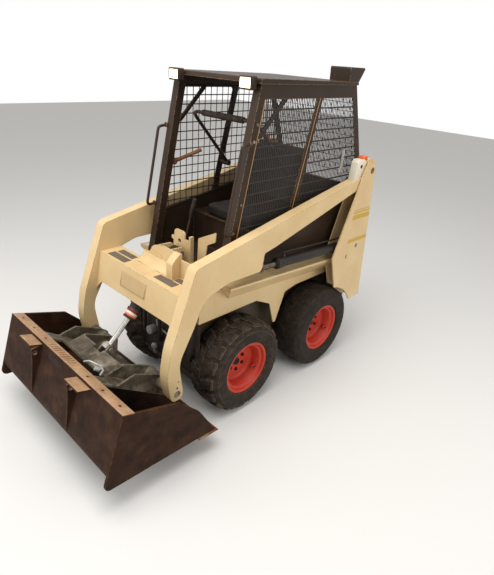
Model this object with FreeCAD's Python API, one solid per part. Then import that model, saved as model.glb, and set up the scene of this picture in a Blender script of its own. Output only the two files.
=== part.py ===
import FreeCAD, Part
import math
import os

# A compact skid steer loader, arms down. Millimetres: x to the machine's own left, y to its rear, z up.
# Distances along y run from the middle of the wheelbase until every piece is moved to the final origin.
V = FreeCAD.Vector
x_axis = V(1, 0, 0)
y_axis = V(0, 1, 0)
z_axis = V(0, 0, 1)

# Wheels and axles
wheelbase = 721.0
tyre_radius = 286.0
tyre_width = 216.0
tyre_outer_x = 445.0
ring_sides = 32
bar_sides = 12
rim_radius = 152.0
rim_flange = 11.0
rim_wall = 6.0
dish_step = 24.0
dish_radius = 132.0
disc_radius = 110.0
disc_inset = 92.0
hub_radius = 66.0
hub_nose_radius = 23.0
lug_height = 16.0
lug_pairs = 16
lug_half = 13.0
lug_lean = 17.0
axle_tube_radius = 48.0

# Chassis
tub_half_width = 214.0
chaincase_width = 72.0
chaincase_top = 430.0
belly_z = 196.0
plate = 8.0
frame_front_y = -600.0
rear_overhang = 83.5
fender_x = 305.0
fender_top_z = 800.0
wheel_gap = 46.0
wheel_clearance = 12.0
tab_height = 120.0
beam_reach = 100.0
beam_front_y = -505.0
beam_rear_y = 470.0
beam_ridge_front_z = 832.0
beam_ridge_rear_z = 775.0

bumper_low_z = 300.0
bumper_height = 90.0
bumper_depth = 70.0
tow_bore_radius = 12.5
tow_bore_back = 42.0
engine_half_width = 135.0
engine_front_y = 190.0
engine_height = 540.0

# Rear uprights that carry the lift arms
pivot_y = 645.0
pivot_z = 1325.0
upright_outer_x = 450.0
upright_gap = 81.0
upright_low_z = 436.0
upright_top_z = 1392.0
upright_nose_y = 341.0
upright_nose_z = 800.0
upright_back_top_z = 1235.0
inner_setback = 50.0
slot_y = 498.0
slot_z = 781.0
pivot_pin_radius = 20.0
pivot_margin = 28.0

# Lift arms
arm_outer_x = 437.0
arm_width = 65.0
foot_y = -876.0
foot_z = 366.0
foot_radius = 36.0

# Cross member between the arms
cross_top_y = -800.0
cross_top_z = 862.0
cross_depth = 140.0
cross_height = 168.0
cross_lean = 10.6

# Cylinders
lift_base_y = 600.0
lift_base_z = 838.0
lift_eye_y = -300.0
lift_eye_z = 897.0
lift_barrel_radius = 29.0
lift_rod_radius = 16.0
lift_barrel_length = 750.0
lift_rod_reach = 800.0
tilt_x = -20.0
tilt_base_y = -530.0
tilt_base_z = 915.0
tilt_barrel_radius = 32.0
tilt_rod_radius = 15.0
tilt_barrel_length = 335.0
tilt_rod_reach = 480.0
cheek_gap = 42.0
eye_width = 38.0
eye_wall = 14.0
pin_radius = 14.0
gap = 0.3

# Attach frame: u is forward of the hinge pin and w above it while the frame stands upright
frame_roll = 56.0
face_u = 68.5
face_low_w = -95.0
face_top_w = 275.0
ear_top_w = 349.0
ear_width = 86.0
face_half_width = 300.0
gusset_rear_u = -14.5
gusset_rear_w = 189.5
inner_gusset_x = 185.0
tilt_eye_u = -18.5
tilt_eye_w = 146.0
coupler_plate = 10.0

# Bucket, drawn on its floor: s runs from its back corner to the cutting edge, t stands on the floor
bucket_width = 1130.0
bucket_sheet = 6.0
bucket_back = 387.0
bucket_back_lean = 15.9
bucket_floor = 655.0
bucket_corner_radius = 90.0
bucket_pitch = -2.0
rail_width = 64.0
rail_thickness = 10.0
rail_slope = -17.0
side_top_run = 252.0
side_shoulder_s = 540.0
side_shoulder_t = 172.0
edge_thickness = 14.0
bracket_reach = 62.0
bracket_bore_radius = 12.5

# Tailgate and its hinge, at the right-hand upright
door_low_z = 400.0
door_top_z = 1052.0
door_depth = 50.0
louvre_count = 9
louvre_pitch = 46.0
louvre_height = 22.0
hinge_back = 68.0
hinge_pin_radius = 6.0
hinge_ring_radius = 11.0
hinge_length = 34.0
hinge_levels = (470.0, 960.0)

# Cab
cab_half_width = 328.0
cab_floor_z = 800.0
cab_front_y = -505.0
cab_lean = 11.7
footwell_y = -470.0
seat_box_y = -150.0
deck_z = 1010.0
cab_back_y = 545.0
seat_half_width = 205.0
seat_front_y = -165.0
seat_rear_y = 232.0
seat_lean = 8.0
seat_pan_sheet = 8.0
cushion_height = 76.0
seat_back_top = 1440.0
seat_back_depth = 72.0
bracket_y = -490.0
latch_x = -39.0
latch_z = 960.0
latch_hole_radius = 12.5
cab_roof_z = 1808.0
cab_roof_rear_y = 512.0
cab_rear_lean = 20.0
cab_sill_z = 1060.0
cab_waist_z = 1230.0
cab_head_z = 1740.0
post_width = 48.0
cab_sheet = 5.0
roof_thickness = 24.0
seat_bar_x = 255.0
seat_bar_y = 68.0
seat_bar_z = 1300.0
seat_bar_length = 440.0
seat_bar_rise = 47.0
bar_radius = 10.0
handle_radius = 8.0
handle_reach = 56.0
mesh_pitch = 92.0
mesh_bar = 9.0
mesh_sheet = 4.0
roof_box_x = 188.0
roof_box_height = 92.0
light_x = 270.0
light_width = 86.0
light_height = 62.0
light_depth = 44.0
handle_top_z = 1540.0
handle_low_z = 1100.0
lever_x = 190.0
lever_y = -330.0
lever_radius = 9.0
pedal_x = 110.0
pedal_y = -410.0
boss_radius = 16.0


# Shapes


def wire_of(corners, place):
    # corners: rows of (u, v, radius); a radius of 0 is a sharp corner
    count = len(corners)
    ends = []
    for i in range(count):
        u, v, radius = corners[i]
        here = V(u, v, 0)
        before = V(corners[i - 1][0], corners[i - 1][1], 0) - here
        after = V(corners[(i + 1) % count][0], corners[(i + 1) % count][1], 0) - here
        if radius <= 0:
            ends.append((here, here, here))
            continue
        reach_limit = 0.49 * min(before.Length, after.Length)
        half = before.getAngle(after) / 2
        reach = min(radius / math.tan(half), reach_limit)
        radius = reach * math.tan(half)
        before.normalize()
        after.normalize()
        bisector = before + after
        bisector.normalize()
        middle = here + bisector * (radius / math.sin(half) - radius)
        ends.append((here + before * reach, middle, here + after * reach))
    edges = []
    for i in range(count):
        start, middle, end = ends[i]
        following = ends[(i + 1) % count][0]
        if (end - start).Length > 1e-6:
            edges.append(Part.Arc(place(start), place(middle), place(end)).toShape())
        if (following - end).Length > 1e-6:
            edges.append(Part.LineSegment(place(end), place(following)).toShape())
    return Part.Wire(edges)


def prism(corners, place, along):
    return Part.Face(wire_of(corners, place)).extrude(along)


def side_plate(corners, x_low, x_high):
    return prism(corners, lambda p: V(x_low, p.x, p.y), x_axis * (x_high - x_low))


def level_plate(corners, z_low, z_high):
    return prism(corners, lambda p: V(p.x, p.y, z_low), z_axis * (z_high - z_low))


def cross_plate(corners, y_low, y_high):
    return prism(corners, lambda p: V(p.x, y_low, p.y), y_axis * (y_high - y_low))


def block(x_low, x_high, y_low, y_high, z_low, z_high):
    return Part.makeBox(x_high - x_low, y_high - y_low, z_high - z_low, V(x_low, y_low, z_low))


def rod(start, end, radius):
    along = end - start
    return Part.makeCylinder(radius, along.Length, start, along)


def cross_rod(x_low, x_high, y, z, radius):
    return Part.makeCylinder(radius, x_high - x_low, V(x_low, y, z), x_axis)


def bent_rod(points, radius, bend):
    # a bar of many flats through the points; each bend is two chords of its arc, mitred where they meet
    stations = [points[0]]
    for i in range(1, len(points) - 1):
        before = points[i - 1] - points[i]
        after = points[i + 1] - points[i]
        half = before.getAngle(after) / 2
        reach = bend / math.tan(half)
        before.normalize()
        after.normalize()
        bisector = before + after
        bisector.normalize()
        stations.append(points[i] + before * reach)
        stations.append(points[i] + bisector * (bend / math.sin(half) - bend))
        stations.append(points[i] + after * reach)
    stations.append(points[-1])
    path = Part.makePolygon(stations)
    along = points[1] - points[0]
    side = along.cross(x_axis) if abs(along.x) < along.Length * 0.9 else along.cross(z_axis)
    side.normalize()
    turn = FreeCAD.Rotation(along, 360.0 / bar_sides)
    corners = [side * (radius / math.cos(math.pi / bar_sides))]
    for i in range(bar_sides):
        corners.append(turn.multVec(corners[-1]))
    section = Part.makePolygon([points[0] + corner for corner in corners])
    return path.makePipeShell([section], True, False, 1)


def ring_solid(rows):
    # a many-sided ring about the x axis; rows of (x, radius to the flats) go once round its section
    rings = []
    for x, flat_radius in rows:
        corner_radius = flat_radius / math.cos(math.pi / ring_sides)
        turns = [2 * math.pi * i / ring_sides for i in range(ring_sides)]
        rings.append([V(x, corner_radius * math.cos(a), corner_radius * math.sin(a)) for a in turns])
    faces = []
    for i in range(len(rows)):
        near, far = rings[i - 1], rings[i]
        for k in range(ring_sides):
            corners = [near[k - 1], near[k], far[k], far[k - 1], near[k - 1]]
            faces.append(Part.Face(Part.makePolygon(corners)))
    solid = Part.Solid(Part.Shell(faces))
    if solid.Volume < 0:
        solid.reverse()
    return solid


def mirrored(shape):
    return shape.mirror(V(0, 0, 0), x_axis)


def both_sides(shape):
    return Part.makeCompound([shape, mirrored(shape)])


def fused(shapes):
    whole = shapes[0]
    if len(shapes) > 1:
        whole = shapes[0].multiFuse(shapes[1:])
    return whole.removeSplitter()


def turned(shape, degrees, y, z):
    copy = shape.copy()
    copy.rotate(V(0, y, z), x_axis, degrees)
    return copy


# Wheels


tyre_inner_x = tyre_outer_x - tyre_width
tyre_centre_x = tyre_outer_x - tyre_width / 2
carcass_radius = tyre_radius - lug_height
rim_half_width = tyre_width / 2 - 14
lug_top = math.sqrt(tyre_radius ** 2 - (lug_lean + lug_half) ** 2)
lug_tip_angle = math.degrees(math.atan2(lug_lean + lug_half, lug_top))


def tyre(worn):
    # the carcass bulges past the rim's flanges, which its lips hide
    radius = carcass_radius
    if worn:
        radius = tyre_radius * math.cos(math.pi / ring_sides)
    half = tyre_width / 2
    bead_x = rim_half_width - rim_wall - gap
    lip_radius = rim_radius + rim_flange + 1
    rows = [
        (bead_x, rim_radius + gap),
        (bead_x, lip_radius),
        (half - 9, lip_radius),
        (half, (rim_radius + radius) / 2),
        (half - 5, radius - 30),
        (half - 22, radius),
    ]
    body = ring_solid(rows + [(-x, r) for x, r in rows[::-1]])
    if worn:
        return body
    pitch = 360.0 / lug_pairs
    lugs = []
    for i in range(lug_pairs):
        for side, offset in ((1, 0.0), (-1, pitch / 2)):
            lugs.append(lug(side).rotated(V(0, 0, 0), x_axis, i * pitch + offset + lug_tip_angle))
    return fused([body] + lugs)


def lug(side):
    # a slanting block from the middle of the tread out over the shoulder, where it is chamfered
    end_x = tyre_width / 2 - 8
    base = carcass_radius - 34
    foot = [V(side * -4, -lug_half, base), V(side * end_x, lug_lean - lug_half, base),
            V(side * end_x, lug_lean + lug_half, base), V(side * -4, lug_half, base)]
    block_shape = Part.Face(Part.makePolygon(foot + foot[:1])).extrude(z_axis * (lug_top - base))
    chamfer = Part.makePolygon([V(side * (end_x - 14), -50, lug_top), V(side * (end_x + 10), -50, lug_top + 1),
                                V(side * (end_x + 10), -50, lug_top - 26), V(side * (end_x - 14), -50, lug_top)])
    return block_shape.cut(Part.Face(chamfer).extrude(y_axis * 100))


def rim():
    # disc wheel with a flange at each side, dished in one step from its outer face, which looks to +x
    half = rim_half_width
    disc_x = half - disc_inset
    wall_radius = rim_radius - rim_wall
    return ring_solid([
        (half, rim_radius + rim_flange), (half, wall_radius),
        (half - dish_step, wall_radius), (half - dish_step, dish_radius),
        (disc_x, disc_radius), (disc_x, hub_nose_radius + 1),
        (disc_x - rim_wall, hub_nose_radius + 1), (disc_x - rim_wall, wall_radius),
        (-half, wall_radius), (-half, rim_radius + rim_flange),
        (rim_wall - half, rim_radius + rim_flange), (rim_wall - half, rim_radius),
        (half - rim_wall, rim_radius), (half - rim_wall, rim_radius + rim_flange),
    ])


def add_wheels(nodes):
    lugged = tyre(False)
    smooth = tyre(True)
    wheel_rim = rim()
    places = (("front_left", 1, -1, lugged), ("front_right", -1, -1, lugged),
              ("rear_left", 1, 1, smooth), ("rear_right", -1, 1, smooth))
    for name, side, end, tyre_shape in places:
        centre = V(tyre_centre_x, end * wheelbase / 2, tyre_radius)
        for part_name, shape in (("tyre_", tyre_shape), ("rim_", wheel_rim)):
            placed = shape.translated(centre)
            if side < 0:
                placed = mirrored(placed)
            nodes[part_name + name] = placed


def add_axles(nodes):
    disc_inner_x = tyre_centre_x + rim_half_width - disc_inset - rim_wall
    shapes = []
    for end in (-1, 1):
        y = end * wheelbase / 2
        tube = bent_rod([V(tub_half_width, y, tyre_radius), V(disc_inner_x - 30, y, tyre_radius)],
                        axle_tube_radius, 0)
        hub = cross_rod(disc_inner_x - 30, disc_inner_x - gap, y, tyre_radius, hub_radius)
        nose = cross_rod(disc_inner_x - 2, disc_inner_x + rim_wall + 5, y, tyre_radius, hub_nose_radius)
        shapes.append(fused([tube, hub, nose]))
    nodes["axle_hubs"] = Part.makeCompound(shapes + [mirrored(s) for s in shapes])


# Chassis


arm_inner_x = arm_outer_x - arm_width
upright_inner_x = upright_outer_x - upright_gap - 2 * plate
wheel_arch_z = 2 * tyre_radius + wheel_gap
frame_rear_y = wheelbase / 2 + tyre_radius + rear_overhang
upright_low_y = frame_rear_y + 15
upright_top_y = pivot_y + pivot_margin


def upright_rear_at(z):
    share = (z - upright_low_z) / (upright_top_z - upright_low_z)
    return upright_low_y + share * (upright_top_y - upright_low_y)


def fender_side():
    # outer side panel: arches over both tyres, and a pointed tab between them
    half = wheelbase / 2
    tab_z = tyre_radius + tab_height
    flat = 0.62 * tyre_radius
    return side_plate([
        (frame_front_y - 30, wheel_arch_z, 0),
        (-half + flat, wheel_arch_z, 30),
        (-60, wheel_arch_z - 60, 20),
        (-10, tab_z, 12),
        (10, tab_z, 12),
        (80, wheel_arch_z - 20, 20),
        (half - flat, wheel_arch_z, 30),
        (half + flat + 60, wheel_arch_z, 20),
        (half + flat + 60, fender_top_z, 0),
        (frame_front_y - 30, fender_top_z, 30),
    ], fender_x - plate, fender_x)


def fender_beam():
    # the bent ledge along the fender: an outer ridge that tapers to the rear, and a front end cut aslant
    sections = []
    for y, ridge_z in ((beam_front_y, beam_ridge_front_z), (beam_rear_y, beam_ridge_rear_z)):
        rows = [
            V(fender_x - 2, y, ridge_z - 120),
            V(fender_x + beam_reach, y, ridge_z - 14),
            V(fender_x + beam_reach, y, ridge_z),
            V(fender_x + beam_reach * 0.45, y, ridge_z + 8),
            V(fender_x - 2, y, ridge_z + 8),
        ]
        sections.append(Part.makePolygon(rows + [rows[0]]))
    slant = side_plate([
        (beam_front_y - 5, beam_ridge_front_z - 14, 0), (beam_front_y + 110, beam_ridge_front_z - 150, 0),
        (beam_front_y - 5, beam_ridge_front_z - 150, 0),
    ], 0, fender_x + beam_reach + 10)
    return Part.makeLoft(sections, True, True).cut(slant)


def add_frame(nodes):
    half = tub_half_width
    wall_top = fender_top_z
    belly = block(-half, half, frame_front_y, frame_rear_y, belly_z, belly_z + plate)
    front = cross_plate([
        (-half, belly_z, 20), (half, belly_z, 20), (half, wall_top, 0), (60, wall_top, 40),
        (60, 560, 30), (-60, 560, 30), (-60, wall_top, 40), (-half, wall_top, 0),
    ], frame_front_y, frame_front_y + plate)
    rear = block(-half, half, frame_rear_y - plate, frame_rear_y, belly_z, chaincase_top)
    pieces = [belly, front, rear]
    for side in (1, -1):
        case = block(half - chaincase_width, half, frame_front_y, frame_rear_y, belly_z, chaincase_top)
        wall = block(half - plate, half, frame_front_y, frame_rear_y, chaincase_top - 1, wall_top)
        well = block(half - 1, fender_x - plate + 1, frame_front_y - 30, frame_rear_y - 130,
                     wheel_arch_z + 6, wheel_arch_z + 6 + plate)
        side_pieces = [case, wall, well, fender_side()]
        if side < 0:
            side_pieces = [mirrored(s) for s in side_pieces]
        pieces += side_pieces
    nodes["main_frame"] = fused(pieces)
    beam = fender_beam().cut(block(0, fender_x, -2000, 2000, 0, 2000))
    cab_foot = block(0, cab_half_width + gap, -2000, 2000, cab_floor_z, 2000)
    upright_space = side_plate(upright_outline(inner_setback - 2), upright_inner_x - gap,
                               upright_inner_x + plate + gap)
    nodes["fender_beams"] = both_sides(beam.cut(cab_foot).cut(upright_space))


def upright_outline(setback):
    # setback: how far the front edge stands behind the outer plate's
    nose_y = upright_nose_y + setback
    return [
        (nose_y + 75, 2 * tyre_radius, 0),
        (nose_y, upright_nose_z, 25),
        (upright_top_y - 86 + setback / 3, upright_top_z, 12),
        (upright_top_y, upright_top_z - 28, 12),
        (upright_low_y, upright_low_z, 0),
        (upright_low_y - 185, upright_low_z - 12, 0),
    ]


def add_uprights(nodes):
    hole = cross_rod(0, 600, pivot_y, pivot_z, pivot_pin_radius)
    base_hole = cross_rod(0, 600, lift_base_y, lift_base_z, pin_radius)
    outer = side_plate(upright_outline(0), upright_outer_x - plate, upright_outer_x)
    inner = side_plate(upright_outline(inner_setback), upright_inner_x, upright_inner_x + plate)
    slot = block(upright_outer_x - 2 * plate, upright_outer_x + 1, slot_y - 6, slot_y + 6, slot_z - 13, slot_z + 13)
    back_levels = (upright_low_z, upright_back_top_z)
    back = side_plate([
        (upright_rear_at(back_levels[0]) - plate, back_levels[0], 0),
        (upright_rear_at(back_levels[1]) - plate, back_levels[1], 0),
        (upright_rear_at(back_levels[1]), back_levels[1], 0),
        (upright_rear_at(back_levels[0]), back_levels[0], 0),
    ], upright_inner_x + 1, upright_outer_x - 1)
    foot = block(tub_half_width, upright_inner_x + 1, frame_rear_y - 80, frame_rear_y,
                 upright_low_z + 4, upright_low_z + 4 + plate)
    web = block(tub_half_width, upright_inner_x + 1, frame_rear_y - 40, frame_rear_y - 40 + plate,
                bumper_low_z, 700)
    wheel_room = cross_rod(0, 600, wheelbase / 2, tyre_radius, tyre_radius + wheel_clearance)
    whole = fused([outer.cut(slot), inner, back, foot, web]).cut(wheel_room).cut(hole).cut(base_hole)
    nodes["uprights"] = both_sides(whole)
    pivot = cross_rod(upright_inner_x - 5, upright_outer_x, pivot_y, pivot_z, pivot_pin_radius)
    base = cross_rod(upright_inner_x - 6, upright_outer_x, lift_base_y, lift_base_z, pin_radius)
    nodes["arm_pivot_pins"] = both_sides(pivot)
    nodes["lift_base_pins"] = both_sides(base)


def add_engine(nodes):
    half = engine_half_width
    low = belly_z + plate
    nodes["engine_block"] = block(-half, half, engine_front_y, frame_rear_y - 60, low, low + engine_height)
    nodes["rear_bumper"] = level_plate([
        (-tub_half_width, frame_rear_y, 0), (tub_half_width, frame_rear_y, 0),
        (tub_half_width + 80, frame_rear_y + bumper_depth, 20),
        (-tub_half_width - 80, frame_rear_y + bumper_depth, 20),
    ], bumper_low_z, bumper_low_z + bumper_height).cut(
        Part.makeCylinder(tow_bore_radius, bumper_height + 2, V(0, frame_rear_y + tow_bore_back, bumper_low_z - 1)))
    hood_low = door_top_z + 8
    hood_back = frame_rear_y + 4
    hood = side_plate([
        (561, hood_low + 120, 20), (596, hood_low + 155, 30), (650, hood_low + 155, 40),
        (hood_back - 4, hood_low + 30, 40), (hood_back, hood_low, 0), (561, hood_low, 0),
    ], gap - upright_inner_x, upright_inner_x - gap)
    hollow = side_plate([
        (567, hood_low + 114, 0), (600, hood_low + 149, 0), (646, hood_low + 149, 0),
        (hood_back - 10, hood_low + 26, 0), (hood_back - 6, hood_low - 10, 0), (567, hood_low - 10, 0),
    ], 6 - upright_inner_x, upright_inner_x - 6)
    slots = [block(-250, 250, 590 + i * 20, 598 + i * 20, hood_low + 130, hood_low + 180) for i in range(3)]
    nodes["rear_hood"] = hood.cut(hollow).cut(Part.makeCompound(slots))


hinge_x = -(upright_inner_x - 5)
hinge_y = frame_rear_y + hinge_back


def hinge_ring(z_low, z_high):
    ring = Part.makeCylinder(hinge_ring_radius, z_high - z_low, V(hinge_x, hinge_y, z_low))
    strap = block(hinge_x, hinge_x + 40, hinge_y - 32, hinge_y, z_low, z_high)
    hole = Part.makeCylinder(hinge_pin_radius + gap, z_high - z_low + 2, V(hinge_x, hinge_y, z_low - 1))
    return fused([ring, strap]).cut(hole)


def hinge_lug(z_low, z_high):
    # carried by the right upright's back plate; its pin stands up into the door's knuckle
    outer_x = -upright_inner_x - 38
    ring = Part.makeCylinder(hinge_ring_radius, z_high - z_low, V(hinge_x, hinge_y, z_low))
    arm = block(outer_x, hinge_x, hinge_y, hinge_y + plate, z_low, z_high)
    seat_y = upright_rear_at(z_high) - plate / 2
    seat = block(outer_x, -upright_inner_x - plate, seat_y, hinge_y + plate, z_low, z_high)
    pin = Part.makeCylinder(hinge_pin_radius, 2 * hinge_length - 4, V(hinge_x, hinge_y, z_low))
    return fused([ring, arm, seat, pin])


def add_tailgate(nodes):
    half = upright_inner_x - 5
    front = frame_rear_y + 6
    back = front + door_depth
    door = side_plate([
        (front, door_low_z, 0), (front, door_top_z, 0), (back - 20, door_top_z, 30),
        (back, 700, 60), (back, door_low_z, 0),
    ], -half, half)
    hollow = side_plate([
        (front - 6, door_low_z + 6, 0), (front - 6, door_top_z - 6, 0), (back - 26, door_top_z - 6, 0),
        (back - 6, 700, 0), (back - 6, door_low_z + 6, 0),
    ], -half + 6, half - 6)
    louvres = [block(-220, 220, back - 36, back + 14, 560 + i * louvre_pitch, 560 + i * louvre_pitch + louvre_height)
               for i in range(louvre_count)]
    door = door.cut(hollow).cut(Part.makeCompound(louvres))
    knuckles = []
    lugs = []
    for z in hinge_levels:
        knuckles.append(hinge_ring(z, z + hinge_length))
        lug_shape = hinge_lug(z - hinge_length - gap, z - gap).cut(nodes["uprights"])
        lugs.append(max(lug_shape.Solids, key=lambda solid: solid.Volume))
    nodes["tailgate"] = fused([door] + knuckles)
    nodes["tailgate_hinges"] = Part.makeCompound(lugs)


# Cab


def cab_front_at(z):
    return cab_front_y + (z - cab_floor_z) * math.tan(math.radians(cab_lean))


def cab_rear_at(z):
    return cab_roof_rear_y + (cab_roof_z - z) * math.tan(math.radians(cab_rear_lean))


def cab_side_outline(low_z, inset):
    top = cab_roof_z - inset
    low = low_z + inset
    return [
        (cab_front_at(low) + inset, low, 0),
        (cab_front_at(top) + inset, top, 0),
        (cab_rear_at(top) - inset, top, 0),
        (cab_rear_at(cab_waist_z + 30) - inset, cab_waist_z + 30, 0),
        (cab_back_y + 15 - inset, cab_waist_z, 0),
        (cab_back_y + 15 - inset, low, 0),
    ]


def add_cab(nodes):
    half = cab_half_width
    wall = side_plate(cab_side_outline(cab_floor_z, 0), half - cab_sheet, half)
    front_window = side_plate([
        (cab_front_at(cab_sill_z) + post_width, cab_sill_z, 15),
        (cab_front_at(cab_head_z) + post_width, cab_head_z, 15),
        (150, cab_head_z, 15),
        (0, cab_sill_z + 60, 15),
    ], half - 2 * cab_sheet, half + 1)
    rear_window = side_plate([
        (50, cab_sill_z + 70, 15), (200, cab_head_z, 15),
        (cab_rear_at(cab_head_z) - post_width, cab_head_z, 15),
        (cab_rear_at(cab_waist_z + 80) - post_width, cab_waist_z + 80, 15), (430, cab_waist_z - 30, 15),
    ], half - 2 * cab_sheet, half + 1)
    wall = wall.cut(front_window).cut(rear_window)
    post = side_plate([
        (cab_front_at(cab_floor_z), cab_floor_z, 0),
        (cab_front_at(cab_roof_z), cab_roof_z, 0),
        (cab_front_at(cab_roof_z) + post_width, cab_roof_z, 0),
        (cab_front_at(cab_floor_z) + post_width, cab_floor_z, 0),
    ], half - post_width, half)
    floor_plate = block(-half, half, footwell_y, seat_box_y, cab_floor_z, cab_floor_z + cab_sheet)
    back_wall = block(-half, half, cab_back_y - cab_sheet, cab_back_y, cab_floor_z, cab_waist_z + 2)
    bulkhead = block(-half, half, seat_box_y, seat_box_y + cab_sheet, cab_floor_z, deck_z)
    deck = block(-half, half, seat_box_y, cab_back_y, deck_z - cab_sheet, deck_z)
    nodes["cab_shell"] = fused([wall, mirrored(wall), post, mirrored(post), floor_plate, back_wall,
                                bulkhead, deck])
    roof = side_plate([
        (cab_front_at(cab_roof_z) - 12, cab_roof_z, 0),
        (cab_front_at(cab_roof_z) - 4, cab_roof_z + roof_thickness, 10),
        (cab_roof_rear_y + 4, cab_roof_z + roof_thickness - 8, 10),
        (cab_roof_rear_y + 12, cab_roof_z, 0),
    ], -half - 6, half + 6)
    box_on_roof = side_plate([
        (cab_roof_rear_y - 80, cab_roof_z + roof_thickness - 10, 0),
        (cab_roof_rear_y - 84, cab_roof_z + roof_box_height, 8),
        (cab_roof_rear_y + 70, cab_roof_z + roof_box_height, 8), (cab_roof_rear_y + 8, cab_roof_z + 6, 0),
    ], roof_box_x, half)
    nodes["cab_roof"] = fused([roof, box_on_roof])
    nodes["side_screens"] = both_sides(side_screen())
    nodes["rear_screen"] = rear_screen()


def screen_cells(outline, place, along, keep_out):
    # whole square openings of a welded mesh that lie inside the outline, clear of its edges
    face = Part.Face(Part.makePolygon([V(u, v, 0) for u, v, _ in outline] + [V(outline[0][0], outline[0][1], 0)]))
    reach = mesh_pitch / 2 + mesh_bar
    u_low = min(row[0] for row in outline)
    v_low = min(row[1] for row in outline)
    u_count = int((max(row[0] for row in outline) - u_low) / mesh_pitch) + 1
    v_count = int((max(row[1] for row in outline) - v_low) / mesh_pitch) + 1
    cells = []
    for i in range(u_count):
        for j in range(v_count):
            u = u_low + (i + 0.5) * mesh_pitch
            v = v_low + (j + 0.6) * mesh_pitch
            corners = [V(u + p * reach, v + q * reach, 0) for p in (-1, 1) for q in (-1, 1)]
            if not all(face.isInside(corner, 0.1, True) for corner in corners) or keep_out(u, v):
                continue
            half = (mesh_pitch - mesh_bar) / 2
            cells.append(prism([(u - half, v - half, 0), (u + half, v - half, 0), (u + half, v + half, 0),
                                (u - half, v + half, 0)], place, along))
    return Part.makeCompound(cells)


def side_screen():
    half = cab_half_width
    outline = [
        (cab_front_at(cab_sill_z) + post_width + 4, cab_sill_z - 14, 0),
        (cab_front_at(cab_head_z) + post_width + 4, cab_head_z + 10, 0),
        (cab_rear_at(cab_head_z) - post_width + 10, cab_head_z + 10, 0),
        (cab_rear_at(cab_waist_z + 66) - post_width + 10, cab_waist_z + 66, 0),
        (430, cab_waist_z - 44, 0),
    ]
    outer_x = half - cab_sheet - gap
    sheet = side_plate(outline, outer_x - mesh_sheet, outer_x)
    cells = screen_cells(outline, lambda p: V(outer_x - 20, p.x, p.y), x_axis * 40,
                         lambda y, z: math.hypot(y - seat_bar_y, z - seat_bar_z) < mesh_pitch)
    return sheet.cut(cells).cut(cross_rod(half - 20, half, seat_bar_y, seat_bar_z, boss_radius + 6))


def rear_screen():
    z_low = cab_waist_z + 32
    half = cab_half_width - cab_sheet - gap
    corners = [
        (cab_rear_at(z_low) - mesh_sheet, z_low, 0), (cab_rear_at(cab_roof_z) - mesh_sheet, cab_roof_z - 1, 0),
        (cab_rear_at(cab_roof_z), cab_roof_z - 1, 0), (cab_rear_at(z_low), z_low, 0),
    ]
    face = [(-half, z_low, 0), (half, z_low, 0), (half, cab_roof_z, 0), (-half, cab_roof_z, 0)]
    cells = screen_cells(face, lambda p: V(p.x, cab_roof_rear_y - 20, p.y), y_axis * 300, lambda x, z: False)
    return side_plate(corners, -half, half).cut(cells)


def add_cab_fittings(nodes):
    lights = []
    roof_front = cab_front_at(cab_roof_z) - 12
    for side in (1, -1):
        x = side * light_x
        body = block(x - light_width / 2, x + light_width / 2, roof_front - 2 - light_depth, roof_front - 2,
                     cab_roof_z - 30, cab_roof_z - 30 + light_height)
        arm = block(x - 8, x + 8, roof_front - 4, roof_front + 20, cab_roof_z + 4, cab_roof_z + 14)
        lights.append(fused([body, arm.cut(nodes["cab_roof"])]))
    nodes["work_lights"] = Part.makeCompound(lights)
    x = cab_half_width + 6
    top = V(x, cab_front_at(handle_top_z), handle_top_z)
    low = V(x, cab_front_at(handle_low_z), handle_low_z)
    out = V(0, -handle_reach, -6)
    handle = bent_rod([top + V(0, 10, 0), top + out, low + out, low + V(0, 10, 0)], handle_radius, 26)
    handle = handle.cut(block(cab_half_width - post_width, cab_half_width, -900, 0, 900, 1700))
    nodes["grab_handles"] = both_sides(handle)
    add_seat(nodes)
    levers = []
    for side in (1, -1):
        foot = V(side * lever_x, lever_y, cab_floor_z + cab_sheet)
        levers.append(bent_rod([foot, foot + V(0, 0, 60), foot + V(0, 40, 200), foot + V(-side * 20, 60, 330)],
                               lever_radius, 40))
    nodes["steering_levers"] = Part.makeCompound(levers)
    pedals = []
    for side in (1, -1):
        x = side * pedal_x
        foot = block(x - 12, x + 12, pedal_y - 10, pedal_y + 10, cab_floor_z + cab_sheet, cab_floor_z + 40)
        pad = turned(block(x - 40, x + 40, pedal_y - 60, pedal_y + 60, cab_floor_z + 34, cab_floor_z + 42),
                     -20, pedal_y, cab_floor_z + 38)
        pedals.append(fused([foot, pad]))
    nodes["foot_pedals"] = Part.makeCompound(pedals)
    nodes["seat_bar"] = seat_bar()


def add_seat(nodes):
    # a bent sheet pan on the deck, with a cushion on it and another against its back
    half = seat_half_width
    low = deck_z + gap
    top = low + seat_pan_sheet
    slope = math.tan(math.radians(seat_lean))

    def back_at(z):
        return seat_rear_y + (z - top) * slope
    nodes["seat_pan"] = side_plate([
        (seat_front_y, low, 0), (seat_front_y, top, 0), (seat_rear_y, top, 0),
        (back_at(seat_back_top), seat_back_top, 0),
        (back_at(seat_back_top) + seat_pan_sheet, seat_back_top, 0),
        (seat_rear_y + seat_pan_sheet, low, 0),
    ], -half, half)
    cushion_low = top + gap
    cushion_top = cushion_low + cushion_height
    nodes["seat_cushion"] = block(-half, half, seat_front_y - 10, seat_rear_y - 4, cushion_low, cushion_top)
    low = cushion_top + gap
    nodes["seat_back"] = side_plate([
        (back_at(low) - gap, low, 0), (back_at(seat_back_top) - gap, seat_back_top, 0),
        (back_at(seat_back_top) - seat_back_depth, seat_back_top, 20),
        (back_at(low) - seat_back_depth, low, 0),
    ], -half, half)


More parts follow.
